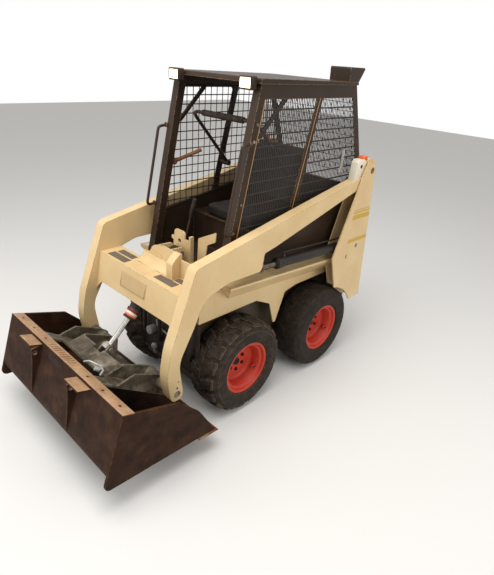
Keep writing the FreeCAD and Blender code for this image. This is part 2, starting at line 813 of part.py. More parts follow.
def seat_bar():
    x = seat_bar_x
    pivot = V(x, seat_bar_y, seat_bar_z)
    along = V(0, -math.cos(math.radians(seat_bar_rise)), math.sin(math.radians(seat_bar_rise)))
    far = pivot + along * seat_bar_length
    bar = bent_rod([pivot, far, V(-x, far.y, far.z), V(-x, seat_bar_y, seat_bar_z)], bar_radius, 60)
    boss = cross_rod(x - 12, cab_half_width - cab_sheet - gap, seat_bar_y, seat_bar_z, boss_radius)
    return fused([bar, boss, mirrored(boss)])


def add_front_bracket(nodes):
    # the sill across the front of the footwell, with a latch plate in its middle and a panel at its left
    half = cab_half_width - post_width - gap
    low = cab_floor_z + gap
    sill_z = cab_floor_z + 58
    latch = cross_plate([
        (-half, low, 0), (-half, sill_z, 0), (-92, sill_z, 12), (-92, 955, 0), (-110, 955, 8), (-110, 977, 8),
        (-84, 980, 0), (-84, 1023, 24), (8, 1023, 24), (8, 980, 0), (43, 980, 10), (43, sill_z, 0),
        (half, sill_z, 0), (half, low, 0),
    ], bracket_y, bracket_y + plate)
    rib = block(43, 43 + 2 * plate, bracket_y, bracket_y + 3 * plate, sill_z - 20, 1006)
    panel = cross_plate([
        (118, sill_z - 10, 0), (182, sill_z - 10, 0), (182, 915, 12), (196, 1005, 20), (258, 1040, 6),
        (262, 1095, 6), (122, 1022, 10),
    ], bracket_y, bracket_y + cab_sheet)
    hole = rod(V(latch_x, bracket_y - 1, latch_z), V(latch_x, bracket_y + plate + 1, latch_z), latch_hole_radius)
    nodes["front_bracket"] = fused([latch, rib, panel]).cut(hole)


# Lift arms


def arm_outline(least_bend):
    # corners bent to a smaller radius than least_bend keep it, gentler ones stay angular
    rows = [
        (-764, 1022, 40),
        (560, 1287, 12),
        (572, 1372, 25),
        (610, 1398, 30),
        (672, 1392, 45),
        (712, 1306, 50),
        (650, 1252, 50),
        (520, 1213, 100),
        (127, 1102, 300),
        (-219, 1008, 100),
        (-297, 992, 15),
        (-312, 893, 25),
        (-560, 893, 120),
        (-715, 845, 120),
        (-772, 715, 120),
        (-852, 570, 160),
        (-862, 520, 200),
        (foot_y + foot_radius, foot_z + 10, 20),
        (foot_y + foot_radius - 4, foot_z - foot_radius, 34),
        (foot_y - foot_radius, foot_z - foot_radius, 34),
        (-938, 480, 300),
        (-912, 630, 400),
    ]
    return [(y, z, radius if radius < least_bend else 0) for y, z, radius in rows]


def add_arms(nodes):
    whole = side_plate(arm_outline(1000), arm_inner_x, arm_outer_x)
    inner_face = Part.Face(wire_of(arm_outline(60), lambda p: V(arm_inner_x + plate, p.x, p.y)))
    inside = inner_face.makeOffset2D(-plate, 2).extrude(x_axis * (arm_width - 2 * plate))
    foot_block = block(arm_inner_x + 1, arm_outer_x - 1, foot_y - foot_radius + 4, foot_y + foot_radius - 6,
                       foot_z - foot_radius + 12, foot_z + foot_radius)
    end_block = block(arm_inner_x + 1, arm_outer_x - 1, pivot_y - 36, pivot_y + 36, pivot_z - 36, pivot_z + 36)
    # the rod's eye turns in a pocket that is open below
    pocket = side_plate([
        (lift_eye_y - 140, lift_eye_z + 70, 0), (lift_eye_y - 100, lift_eye_z + 105, 0),
        (lift_eye_y + 110, lift_eye_z + 105, 0), (lift_eye_y + 110, lift_eye_z - 100, 0),
        (lift_eye_y - 140, lift_eye_z - 100, 0),
    ], arm_inner_x + plate, arm_outer_x - plate)
    arm = whole.cut(inside).fuse(foot_block).fuse(end_block).cut(pocket)
    pivot_hole = cross_rod(0, 600, pivot_y, pivot_z, pivot_pin_radius + gap)
    foot_hole = cross_rod(0, 600, foot_y, foot_z, pivot_pin_radius)
    arm = arm.cut(pivot_hole).cut(foot_hole).removeSplitter()
    nodes["arm_left"] = arm
    nodes["arm_right"] = mirrored(arm)
    pin = cross_rod(arm_inner_x - 56, arm_outer_x - 4, foot_y, foot_z, pivot_pin_radius)
    nodes["foot_pins"] = both_sides(pin)


def add_cross_member(nodes):
    half = arm_inner_x
    end_drop = 60.0
    face = cross_plate([
        (-half, cross_top_z, 0), (half, cross_top_z, 0),
        (half, cross_top_z - cross_height - end_drop, 0), (half - 45, cross_top_z - cross_height, 60),
        (45 - half, cross_top_z - cross_height, 60), (-half, cross_top_z - cross_height - end_drop, 0),
    ], cross_top_y, cross_top_y + plate)
    face = turned(face, -cross_lean, cross_top_y, cross_top_z)
    plate_y = cross_top_y + cross_depth
    top = block(-half, half, cross_top_y, plate_y, cross_top_z - plate, cross_top_z)
    back = block(-half, half, plate_y - plate, plate_y, cross_top_z - 90, cross_top_z)
    window = block(tilt_x - cheek_gap - 10, tilt_x + cheek_gap + 10, cross_top_y + 30, plate_y + 1,
                   cross_top_z - 100, cross_top_z + 1)
    riser = cross_plate([
        (-167, cross_top_z - 60, 0), (-167, cross_top_z - 6, 0), (-142, cross_top_z + 51, 6),
        (-91, cross_top_z + 57, 10), (-43, cross_top_z + 109, 20), (37, cross_top_z + 129, 0),
        (136, cross_top_z + 126, 6), (136, cross_top_z - 60, 0),
    ], plate_y, plate_y + plate)
    # a bent sheet at the left of the riser: a tall folded part, then a low one out to the arm
    fold = side_plate([
        (plate_y - 55, cross_top_z - 6, 0), (plate_y - 55, cross_top_z + 90, 25),
        (plate_y - 10, cross_top_z + 131, 30), (plate_y + plate, cross_top_z + 131, 0),
        (plate_y + plate, cross_top_z - 6, 0),
    ], 140, 190)
    low_part = block(189, half, plate_y - 6, plate_y + plate, cross_top_z - 60, cross_top_z + 100)
    cheeks = []
    for x in (tilt_x - cheek_gap - 10, tilt_x + cheek_gap):
        cheeks.append(side_plate([
            (plate_y + 1, cross_top_z - 60, 0), (plate_y + 1, cross_top_z + 95, 20),
            (tilt_base_y + 8, tilt_base_z + 34, 20), (tilt_base_y + 30, tilt_base_z, 20),
            (tilt_base_y, tilt_base_z - 34, 20), (plate_y + 40, cross_top_z - 60, 10),
        ], x, x + 10))
    room = block(tilt_x - cheek_gap, tilt_x + cheek_gap, plate_y - 1, plate_y + plate + 1,
                 cross_top_z - 61, cross_top_z + 60)
    member = fused([face, top.cut(window), back.cut(window), riser.cut(room), fold, low_part] + cheeks)
    member = member.cut(cross_rod(tilt_x - 100, tilt_x + 100, tilt_base_y, tilt_base_z, pin_radius))
    nodes["cross_member"] = member
    nodes["tilt_base_pin"] = cross_rod(tilt_x - 58, tilt_x + 58, tilt_base_y, tilt_base_z, pin_radius)


# Cylinders


def cylinder_pair(base, eye, x, barrel_radius, barrel_length, rod_radius, rod_reach):
    # a barrel with its base eye, and a rod with its own eye, both on the line from base to eye
    along = eye - base
    along.normalize()
    barrel = rod(base + along * 20, base + along * barrel_length, barrel_radius)
    bore = bent_rod([base + along * 30, base + along * (barrel_length + 1)], rod_radius + gap, 0)
    ring = cross_rod(x - eye_width / 2, x + eye_width / 2, base.y, base.z, pin_radius + eye_wall)
    ring_hole = cross_rod(x - eye_width, x + eye_width, base.y, base.z, pin_radius + gap)
    gland = rod(base + along * (barrel_length - 34), base + along * barrel_length, barrel_radius + 4)
    barrel = fused([barrel, ring, gland]).cut(bore).cut(ring_hole)
    piston_rod = rod(eye - along * rod_reach, eye - along * 8, rod_radius)
    eye_ring = cross_rod(x - eye_width / 2, x + eye_width / 2, eye.y, eye.z, pin_radius + eye_wall)
    eye_hole = cross_rod(x - eye_width, x + eye_width, eye.y, eye.z, pin_radius + gap)
    piston_rod = fused([piston_rod, eye_ring]).cut(eye_hole)
    return barrel, piston_rod


def add_cylinders(nodes):
    x = (arm_outer_x + arm_inner_x) / 2
    barrel, piston_rod = cylinder_pair(
        V(x, lift_base_y, lift_base_z), V(x, lift_eye_y, lift_eye_z), x,
        lift_barrel_radius, lift_barrel_length, lift_rod_radius, lift_rod_reach)
    nodes["lift_barrel_left"] = barrel
    nodes["lift_rod_left"] = piston_rod
    nodes["lift_barrel_right"] = mirrored(barrel)
    nodes["lift_rod_right"] = mirrored(piston_rod)
    eye = coupler_point(tilt_eye_u, tilt_eye_w, tilt_x)
    barrel, piston_rod = cylinder_pair(
        V(tilt_x, tilt_base_y, tilt_base_z), eye, tilt_x,
        tilt_barrel_radius, tilt_barrel_length, tilt_rod_radius, tilt_rod_reach)
    nodes["tilt_barrel"] = barrel
    nodes["tilt_rod"] = piston_rod


# Attach frame and bucket


def coupler_point(u, w, x):
    angle = math.radians(frame_roll)
    y = foot_y - (u * math.cos(angle) + w * math.sin(angle))
    z = foot_z - u * math.sin(angle) + w * math.cos(angle)
    return V(x, y, z)


def coupler_plate_of(corners, x_low, x_high):
    # corners: rows of (u, w, radius) on the upright frame
    return prism(corners, lambda p: coupler_point(p.x, p.y, x_low), x_axis * (x_high - x_low))


def add_attach_frame(nodes):
    half = face_half_width
    thick = coupler_plate
    face = coupler_plate_of([
        (face_u, face_low_w, 0), (face_u, face_top_w, 0),
        (face_u - thick, face_top_w, 0), (face_u - thick, face_low_w, 0),
    ], -half, half)
    ear = coupler_plate_of([
        (face_u, face_top_w - 1, 0), (face_u, ear_top_w + 30, 0),
        (face_u - thick, ear_top_w + 30, 0), (face_u - thick, face_top_w - 1, 0),
    ], half - ear_width, half)
    gusset = [
        (face_u - 1, face_low_w + 4, 0), (face_u - 1, face_top_w - 4, 0),
        (gusset_rear_u, gusset_rear_w, 0), (-40, 20, 0), (-36, -34, 24), (0, -52, 0),
    ]
    pieces = [face, ear, mirrored(ear)]
    for low, high in ((half - thick, half), (inner_gusset_x, inner_gusset_x + thick)):
        flank = coupler_plate_of(gusset, low, high)
        pieces += [flank, mirrored(flank)]
    top_flange = coupler_plate_of([
        (face_u - 1, face_top_w - 14, 0), (face_u - 1, face_top_w - 4, 0),
        (gusset_rear_u + 4, gusset_rear_w + 8, 0), (gusset_rear_u + 10, gusset_rear_w, 0),
    ], -inner_gusset_x, inner_gusset_x)
    pieces.append(top_flange.cut(block(tilt_x - 40, tilt_x + 40, -1300, -500, 0, 1300)))
    for x in (tilt_x - eye_width / 2 - thick - 2, tilt_x + eye_width / 2 + 2):
        pieces.append(coupler_plate_of([
            (face_u - 1, tilt_eye_w - 70, 0), (face_u - 1, tilt_eye_w + 60, 0),
            (tilt_eye_u + 6, tilt_eye_w + 26, 0), (tilt_eye_u - 18, tilt_eye_w + 22, 0),
            (tilt_eye_u - 26, tilt_eye_w, 0), (tilt_eye_u - 18, tilt_eye_w - 22, 0),
            (tilt_eye_u, tilt_eye_w - 30, 0),
        ], x, x + thick))
    boss = cross_rod(inner_gusset_x + thick - 1, arm_inner_x - 6, foot_y, foot_z, pivot_pin_radius + 15)
    pieces += [boss, mirrored(boss)]
    whole = fused(pieces)
    whole = whole.cut(cross_rod(-600, 600, foot_y, foot_z, pivot_pin_radius + gap)).cut(rail_space())
    eye = coupler_point(tilt_eye_u, tilt_eye_w, 0)
    whole = whole.cut(cross_rod(-100, 100, eye.y, eye.z, pin_radius))
    nodes["attach_frame"] = whole
    stub = 10.0
    inner = eye_width / 2 + 1
    outer = eye_width / 2 + 2 + thick + stub
    nodes["tilt_eye_pins"] = Part.makeCompound([
        cross_rod(tilt_x + inner, tilt_x + outer, eye.y, eye.z, pin_radius),
        cross_rod(tilt_x - outer, tilt_x - inner, eye.y, eye.z, pin_radius),
    ])


def bucket_point(s, t, x):
    # s along the floor from the back corner, t off the floor; the rail's rear edge seats on the attach frame
    angle = math.radians(bucket_pitch)
    rail_rear = rail_profile()[1]
    seat = coupler_point(face_u - coupler_plate / 2, ear_top_w, 0)
    ds = s - rail_rear[0]
    dt = t - rail_rear[1] + rail_thickness / 2
    y = seat.y + ds * math.cos(angle) - dt * math.sin(angle)
    z = seat.z + ds * math.sin(angle) + dt * math.cos(angle)
    return V(x, y, z)


def rail_profile():
    lean = math.radians(bucket_back_lean)
    front = (bucket_back * math.sin(lean), bucket_back * math.cos(lean))
    slope = math.radians(rail_slope - bucket_pitch)
    rear = (front[0] + rail_width * math.cos(slope), front[1] + rail_width * math.sin(slope))
    return front, rear


def rail_space():
    # what lies in front of the rail's rear edge, which the ears of the attach frame butt against
    rear = rail_profile()[1]
    slope = math.radians(rail_slope - bucket_pitch)
    up = (-math.sin(slope) * 60, math.cos(slope) * 60)
    back = (-math.cos(slope) * 200, -math.sin(slope) * 200)
    return bucket_prism([
        (rear[0] + up[0], rear[1] + up[1], 0), (rear[0] - up[0], rear[1] - up[1], 0),
        (rear[0] - up[0] + back[0], rear[1] - up[1] + back[1], 0),
        (rear[0] + up[0] + back[0], rear[1] + up[1] + back[1], 0),
    ], -400, 400)


def bucket_prism(corners, x_low, x_high):
    return prism(corners, lambda p: bucket_point(p.x, p.y, x_low), x_axis * (x_high - x_low))


def add_bucket(nodes):
    half = bucket_width / 2
    front, rear = rail_profile()
    slope = math.radians(rail_slope - bucket_pitch)
    under = (math.sin(slope) * rail_thickness, -math.cos(slope) * rail_thickness)
    shoulder = (front[0] + (rail_width + side_top_run) * math.cos(slope),
                front[1] + (rail_width + side_top_run) * math.sin(slope))
    side = bucket_prism([
        (0, 0, 30), (front[0], front[1], 0), (shoulder[0], shoulder[1], 15),
        (side_shoulder_s, side_shoulder_t, 40), (bucket_floor, 0, 0),
    ], half - 2 * bucket_sheet, half)
    lean = math.radians(bucket_back_lean)
    thick = bucket_sheet
    outer = [(0, 0, bucket_corner_radius), (front[0], front[1], 0),
             (front[0] + thick / math.cos(lean), front[1], 0),
             (thick * 1.2, thick, bucket_corner_radius - thick),
             (bucket_floor, thick, 0), (bucket_floor, 0, 0)]
    sheet = bucket_prism(outer, -half + 1, half - 1)
    rail = bucket_prism([
        (front[0], front[1], 0), (rear[0], rear[1], 0),
        (rear[0] + under[0], rear[1] + under[1], 0), (front[0] + under[0], front[1] + under[1], 0),
    ], -half, half)
    nodes["bucket_shell"] = fused([side, mirrored(side), sheet, rail])
    nodes["cutting_edge"] = bucket_prism([
        (bucket_floor - 110, -edge_thickness, 0), (bucket_floor - 110, 0, 0),
        (bucket_floor + 12, 0, 0), (bucket_floor + 22, -edge_thickness, 0),
    ], -half - 6, half + 6)
    nodes["bucket_brackets"] = bucket_brackets(front, lean)


def bucket_brackets(front, lean):
    # two flat brackets on the back of the bucket, each with a pin ear or a rib below it
    def on_back(depth, out):
        # depth below the rail down the back sheet, out from its face
        s = front[0] - depth * math.sin(lean) - out * math.cos(lean)
        t = front[1] - depth * math.cos(lean) + out * math.sin(lean)
        return s, t
    shapes = []
    for side in (1, -1):
        low, high = sorted((side * 180, side * 306))
        s0, t0 = on_back(12, 0)
        s1, t1 = on_back(20, 0)
        rise = bracket_reach * 0.25
        shelf = bucket_prism([
            (s0, t0, 0), (s1, t1, 0), (s1 - bracket_reach, t1 + rise, 0), (s0 - bracket_reach, t0 + rise, 0),
        ], low, high)
        near, far = on_back(20, 0), on_back(300, 0)
        inner, outer = on_back(40, bracket_reach * 0.8), on_back(120, bracket_reach * 0.5)
        x = side * 184
        rib = bucket_prism([
            (near[0], near[1], 0), (inner[0], inner[1], 0), (outer[0], outer[1], 0), (far[0], far[1], 0),
        ], min(x, x + side * 10), max(x, x + side * 10))
        shapes.append(fused([shelf, rib]))
    bore = on_back(60, bracket_reach * 0.45)
    centre = bucket_point(bore[0], bore[1], 0)
    drill = cross_rod(-400, 400, centre.y, centre.z, bracket_bore_radius)
    return Part.makeCompound([shape.cut(drill) for shape in shapes])


# Assembly


def main():
    nodes = {}
    add_wheels(nodes)
    add_axles(nodes)
    add_frame(nodes)
    add_uprights(nodes)
    add_engine(nodes)
    add_tailgate(nodes)
    add_cab(nodes)
    add_cab_fittings(nodes)
    add_front_bracket(nodes)
    add_arms(nodes)
    add_cross_member(nodes)
    add_cylinders(nodes)
    add_attach_frame(nodes)
    add_bucket(nodes)
    low = min(shape.BoundBox.YMin for shape in nodes.values())
    high = max(shape.BoundBox.YMax for shape in nodes.values())
    shift = V(0, -(low + high) / 2, 0)
    os.makedirs("parts", exist_ok=True)
    for name, shape in nodes.items():
        placed = shape.copy()
        placed.translate(shift)
        placed.exportStep("parts/" + name + ".step")
    print("moved along y by", round(shift.y, 3), "length", round(high - low, 1))


main()
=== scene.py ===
import math
import bmesh
import bpy
from mathutils import Matrix, Vector


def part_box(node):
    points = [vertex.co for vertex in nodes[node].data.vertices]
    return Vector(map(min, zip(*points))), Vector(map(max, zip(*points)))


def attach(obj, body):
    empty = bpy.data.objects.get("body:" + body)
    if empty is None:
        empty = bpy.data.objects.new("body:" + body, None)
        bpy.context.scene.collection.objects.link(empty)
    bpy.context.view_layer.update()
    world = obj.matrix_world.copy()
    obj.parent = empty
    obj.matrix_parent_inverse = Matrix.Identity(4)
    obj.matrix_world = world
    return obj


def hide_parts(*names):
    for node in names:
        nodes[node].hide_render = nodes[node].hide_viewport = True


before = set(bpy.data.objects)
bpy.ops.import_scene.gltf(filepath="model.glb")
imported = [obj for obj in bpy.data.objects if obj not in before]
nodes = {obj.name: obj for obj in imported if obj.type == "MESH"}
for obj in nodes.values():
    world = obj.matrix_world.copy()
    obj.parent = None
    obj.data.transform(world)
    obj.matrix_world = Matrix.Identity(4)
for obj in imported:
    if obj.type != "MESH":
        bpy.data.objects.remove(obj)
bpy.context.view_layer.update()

# Skid steer loader, arms down. Metres: x to the machine's own left, y to its rear, z up.
scene = bpy.context.scene


def middleOf(*names):
    corners = [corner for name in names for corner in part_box(name)]
    low = Vector([min(c[i] for c in corners) for i in range(3)])
    high = Vector([max(c[i] for c in corners) for i in range(3)])
    return (low + high) / 2


midWheelbase = middleOf("rim_front_left", "rim_rear_left").y


def at(x, y, z):
    # millimetres from the middle of the wheelbase, as the part is drawn, to metres in the frame
    return Vector((x / 1000, y / 1000 + midWheelbase, z / 1000))


def deselectAll():
    if bpy.context.object and bpy.context.object.mode != "OBJECT":
        bpy.ops.object.mode_set(mode="OBJECT")
    bpy.ops.object.select_all(action="DESELECT")


def made(operator, **settings):
    # the object that an operator adds
    deselectAll()
    operator(**settings)
    return bpy.context.object


def hexColour(text):
    # sRGB hex to the linear colour that Blender's sockets hold
    levels = [int(text[i:i + 2], 16) / 255 for i in (1, 3, 5)]
    linear = [c / 12.92 if c <= 0.04045 else ((c + 0.055) / 1.055) ** 2.4 for c in levels]
    return (linear[0], linear[1], linear[2], 1.0)


def setSockets(node, sockets):
    # each input gets a value, a hex colour, or the output that feeds it
    for key, value in sockets.items():
        if isinstance(value, bpy.types.NodeSocket):
            node.id_data.links.new(value, node.inputs[key])
        else:
            node.inputs[key].default_value = hexColour(value) if isinstance(value, str) else value


def addNode(tree, kind, sockets=None, take=0, **settings):
    # adds a node with its settings and links, and gives back the output that is taken from it
    node = tree.nodes.new("ShaderNode" + kind)
    for name, value in settings.items():
        setattr(node, name, value)
    setSockets(node, sockets or {})
    return node.outputs[take] if len(node.outputs) else node


# Camera, floor and light

cameraView = {
    "azimuth": 42.757, "elevation": 25.799, "roll": 4.12,  # degrees; the photograph leans to the right
    "distance": 3.0038, "target": (129.8, -86.0, 621.2), "clipEnd": 60.0, "sensorHeight": 36.0,
    "focalRows": 477.67, "frameRows": 575.0, "centreRow": 285.6,
}
stageLook = {
    "floorSize": 30.0, "floorColour": "#DEDCD8", "floorRoughness": 0.9, "floorGloss": 0.1,
    "backdrop": "#FFFFFF", "fill": 0.62, "lampsAim": (0, 0, 800),
}
lamps = {  # place and size in metres, and watts
    "overheadSoftbox": ((0.6, -1.2, 4.6), 3.2, 150.0),
    "leftSoftbox": ((4.4, 0.6, 2.4), 2.4, 45.0),
    "frontSoftbox": ((-1.6, -4.2, 2.2), 2.4, 60.0),
}


def makeCamera():
    v = cameraView
    azimuth, elevation, roll = (math.radians(v[k]) for k in ("azimuth", "elevation", "roll"))
    back = Vector((math.sin(azimuth) * math.cos(elevation), -math.cos(azimuth) * math.cos(elevation),
        math.sin(elevation)))
    level = (-back).cross(Vector((0, 0, 1))).normalized()
    upright = back.cross(level)
    right = level * math.cos(roll) + upright * math.sin(roll)
    up = upright * math.cos(roll) - level * math.sin(roll)
    data = bpy.data.cameras.new("photographView")
    data.sensor_fit = "VERTICAL"
    data.sensor_height = v["sensorHeight"]
    data.lens = v["focalRows"] / v["frameRows"] * v["sensorHeight"]
    data.shift_y = (v["centreRow"] - v["frameRows"] / 2) / v["frameRows"]
    data.clip_end = v["clipEnd"]
    camera = bpy.data.objects.new("photographView", data)
    scene.collection.objects.link(camera)
    turn = Matrix((right, up, back)).transposed().to_4x4()
    camera.matrix_world = Matrix.Translation(at(*v["target"]) + back * v["distance"]) @ turn
    scene.camera = camera


def makeFloor():
    floor = made(bpy.ops.mesh.primitive_plane_add, size=stageLook["floorSize"], location=(0, 0, 0))
    floor.name = "studioFloor"
    paint = bpy.data.materials.new("paleStudioFloor")  # matt painted board: no gloss, keeps the shadow
    paint.use_nodes = True
    setSockets(paint.node_tree.nodes["Principled BSDF"], {
        "Base Color": stageLook["floorColour"], "Roughness": stageLook["floorRoughness"],
        "Specular IOR Level": stageLook["floorGloss"],
    })
    floor.data.materials.append(paint)


def makeWorld():
    world = bpy.data.worlds.new("softStudio")
    scene.world = world
    world.use_nodes = True
    tree = world.node_tree
    tree.nodes.clear()
    rays = addNode(tree, "LightPath").node.outputs
    seen = rays["Is Camera Ray"]
    for kind in ("Is Glossy Ray", "Is Transmission Ray"):
        seen = addNode(tree, "Math", {0: seen, 1: rays[kind]}, operation="MAXIMUM")
    soft = addNode(tree, "Background", {"Color": "#FFFFFF", "Strength": stageLook["fill"]})
    white = addNode(tree, "Background", {"Color": stageLook["backdrop"], "Strength": 1.0})
    addNode(tree, "OutputWorld", {"Surface": addNode(tree, "MixShader", {0: seen, 1: soft, 2: white})})


def makeLamp(name, place, aim, size, watts):
    data = bpy.data.lights.new(name, "AREA")
    data.shape = "DISK"
    data.size = size
    data.energy = watts
    lamp = bpy.data.objects.new(name, data)
    scene.collection.objects.link(lamp)
    lamp.location = place
    lamp.rotation_euler = (aim - place).to_track_quat("-Z", "Y").to_euler()


makeCamera()
makeFloor()
makeWorld()
for name, (place, size, watts) in lamps.items():
    makeLamp(name, Vector(place), at(*stageLook["lampsAim"]), size, watts)
scene.view_settings.view_transform = "Standard"
print("camera, floor and lights")


# Finishes


def newFinish(name, colour):
    finish = bpy.data.materials.new(name)
    finish.use_nodes = True
    finish.diffuse_color = hexColour(colour)
    return finish, finish.node_tree


def coat(tree, sockets):
    setSockets(tree.nodes["Principled BSDF"], sockets)


def grain(tree, perMetre, detail=4.0, rough=0.55, stretch=(1, 1, 1)):
    # noise in the object's own coordinates
    place = addNode(tree, "TexCoord", take="Object")
    mapped = addNode(tree, "Mapping", {"Vector": place, "Scale": stretch})
    return addNode(tree, "TexNoise", {"Vector": mapped, "Scale": perMetre, "Detail": detail,
        "Roughness": rough})


def patches(tree, perMetre, low, high, detail=4.0, rough=0.55, stretch=(1, 1, 1), least=0.0, most=1.0):
    # soft patches: least where the noise is under low, most where it is over high
    noise = grain(tree, perMetre, detail, rough, stretch)
    return addNode(tree, "MapRange", {"Value": noise, "From Min": low, "From Max": high, "To Min": least,
        "To Max": most})


def layers(tree, base, *coats):
    # each coat is a colour and the shares that together say how far it covers what is under it
    for colour, share, *others in coats:
        for other in others:
            share = addNode(tree, "Math", {0: share, 1: other}, operation="MULTIPLY")
        base = addNode(tree, "Mix", {0: share, 6: base, 7: colour}, 2, data_type="RGBA")
    return base


def wornEdge(tree, width):
    # 1 where the surface turns sharply within the width, 0 on the flats
    rounded = addNode(tree, "Bevel", {"Radius": width}, samples=4)
    flat = addNode(tree, "NewGeometry", take="Normal")
    turn = addNode(tree, "VectorMath", {0: rounded, 1: flat}, "Value", operation="DOT_PRODUCT")
    return addNode(tree, "MapRange", {"Value": turn, "From Min": 0.995, "From Max": 0.93})


stripeLook = {
    "colour": "#C09A36", "heights": ((1026, 1056), (1066, 1077), (1083, 1090), (871, 896)),
    "slant": 0.08, "startY": 490.0, "startZ": 883.0, "outsideX": 440.5,
}


def stripeShare(tree):
    # 1 inside any band of height, only on the faces that stand furthest out to either side, beginning
    # a little behind the upright's slanted front edge
    x, y, z = addNode(tree, "SeparateXYZ", {0: addNode(tree, "TexCoord", take="Object")}).node.outputs
    share = 0.0
    for low, high in stripeLook["heights"]:
        band = addNode(tree, "Math", {0: z, 1: (low + high) / 2000, 2: (high - low) / 2000},
            operation="COMPARE")
        share = addNode(tree, "Math", {0: share, 1: band}, operation="MAXIMUM")
    slant, outsideX = stripeLook["slant"], stripeLook["outsideX"] / 1000
    start = at(0, stripeLook["startY"], 0).y - slant * stripeLook["startZ"] / 1000
    aside = addNode(tree, "Math", {0: x}, operation="ABSOLUTE")
    behind = addNode(tree, "Math", {0: z, 1: -slant, 2: y}, operation="MULTIPLY_ADD")
    for value, low in ((aside, outsideX), (behind, start)):
        inside = addNode(tree, "MapRange", {"Value": value, "From Min": low, "From Max": low + 0.0005})
        share = addNode(tree, "Math", {0: share, 1: inside}, operation="MULTIPLY")
    return share


def sprayedEnamel(name, colour, shade, grimeColour, chipColour, roughness, grime, striped=False, gloss=0.5):
    # enamel sprayed on plate: faint orange peel of 3 mm, run-off grime drawn out downwards,
    # rubbed chips of 2 to 8 mm along the edges that show the rusty steel under it
    finish, tree = newFinish(name, colour)
    streak = patches(tree, 30.0, 0.6, 0.9, 6.0, 0.65, (1, 1, 0.3))
    speck = patches(tree, 160.0, 0.62, 0.72, 3.0, 0.6)
    dirt = addNode(tree, "Math", {0: streak, 1: speck}, operation="MAXIMUM")
    stripes = [(stripeLook["colour"], stripeShare(tree))] if striped else []
    chips = (chipColour, wornEdge(tree, 0.004), patches(tree, 120.0, 0.46, 0.56, 5.0, 0.7))
    coat(tree, {
        "Base Color": layers(tree, colour, (shade, patches(tree, 5.0, 0.35, 0.7)), (grimeColour, dirt, grime),
            *stripes, chips),
        "Roughness": addNode(tree, "MapRange", {"Value": dirt, "To Min": roughness,
            "To Max": min(0.9, roughness + 0.3)}),
        "Normal": addNode(tree, "Bump", {"Height": grain(tree, 320.0, 2.0, 0.5), "Distance": 0.0004,
            "Strength": 0.35}),
        "Specular IOR Level": gloss,
    })
    return finish


cream = ("#D6BA8A", "#CDAE7C", "#8A6E48", "#5A3A26", 0.42, 0.25)
creamEnamel = sprayedEnamel("creamSprayedEnamel", *cream)
stripedEnamel = sprayedEnamel("stripedCreamEnamel", *cream, striped=True)
cabEnamel = sprayedEnamel("darkCabEnamel", "#2C2016", "#37281B", "#66503A", "#A88560", 0.45, 0.3, gloss=0.22)
wheelEnamel = sprayedEnamel("redWheelEnamel", "#BE3219", "#A82A15", "#6E3A28", "#5A3A26", 0.5, 0.3)
cylinderEnamel = sprayedEnamel("blackCylinderEnamel", "#1C1713", "#26201A", "#4C3E30", "#6A5A48", 0.45, 0.4,
    gloss=0.3)


def greaseAndShadeBelow(finish, name, height, colour):
    # the same paint, darkened below a height in metres on the inner faces between the wheels: black with
    # grease and splashed earth, and painted shade where the frame's inside lies in shadow; its outer skin is
    # clean
    dirtied = finish.copy()
    dirtied.name = name
    tree = dirtied.node_tree
    x, y, z = addNode(tree, "SeparateXYZ", {0: addNode(tree, "TexCoord", take="Object")}).node.outputs
    ragged = addNode(tree, "Math", {0: grain(tree, 9.0), 1: 0.12, 2: z}, operation="MULTIPLY_ADD")
    aside = addNode(tree, "Math", {0: x}, operation="ABSOLUTE")
    inner = addNode(tree, "MapRange", {"Value": aside, "From Min": 0.300, "From Max": 0.296})
    low = addNode(tree, "MapRange", {"Value": ragged, "From Min": height + 0.09, "From Max": height + 0.03,
        "To Max": 0.93})
    paint = tree.nodes["Principled BSDF"].inputs["Base Color"].links[0].from_socket
    coat(tree, {"Base Color": layers(tree, paint, (colour, inner, low))})
    return dirtied


# the inside of the frame low between the wheels: grease and dirt, and painted shade
greasyShadedFrame = greaseAndShadeBelow(creamEnamel, "greasyShadedFrameEnamel", 0.6, "#17110B")


def plainFinish(name, colour, shade, roughness, grainHeight=0.0004, grainPerMetre=300.0):
    # one even coat: clouded a little every 150 mm, with a fine surface grain
    finish, tree = newFinish(name, colour)
    coat(tree, {
        "Base Color": layers(tree, colour, (shade, patches(tree, 7.0, 0.3, 0.75))), "Roughness": roughness,
        "Normal": addNode(tree, "Bump", {"Height": grain(tree, grainPerMetre, 3.0, 0.6),
            "Distance": grainHeight, "Strength": 0.5}),
    })
    return finish


screenEnamel = plainFinish("screenEnamel", "#1C1610", "#2A2119", 0.6)  # thin dull paint on screen steel
gritTape = plainFinish("gritTape", "#6E6152", "#584C40", 0.95, 0.0016, 900.0)  # coarse grit in dark tape
sunlitEarEnamel = plainFinish("sunlitPaleEarEnamel", "#DCD3C0", "#CFC3AC", 0.45)  # end of the arm painted pale: a painted patch of sunlight
plateEnamel = plainFinish("blankPlateEnamel", "#C2A678", "#B89B6C", 0.5)  # painted plate left blank
maroonPaint = plainFinish("maroonBandPaint", "#5A1E1A", "#4C1A16", 0.5)  # painted cylinder bands
whitePaint = plainFinish("whiteBandPaint", "#D8CCBC", "#C4B6A4", 0.5)
bellyOilAndShade = plainFinish("oilyShadedBellyPaint", "#1D150E", "#33271B", 0.7, 0.0012, 240.0)  # dark paint: oil, and painted shade under the cab
orangePlastic = plainFinish("orangeCapPlastic", "#E0662C", "#CC5A26", 0.45)  # moulded end cap
rubbedEdge = plainFinish("rubbedBrownEdge", "#9A7248", "#B08858", 0.45)  # paint rubbed through along a seam


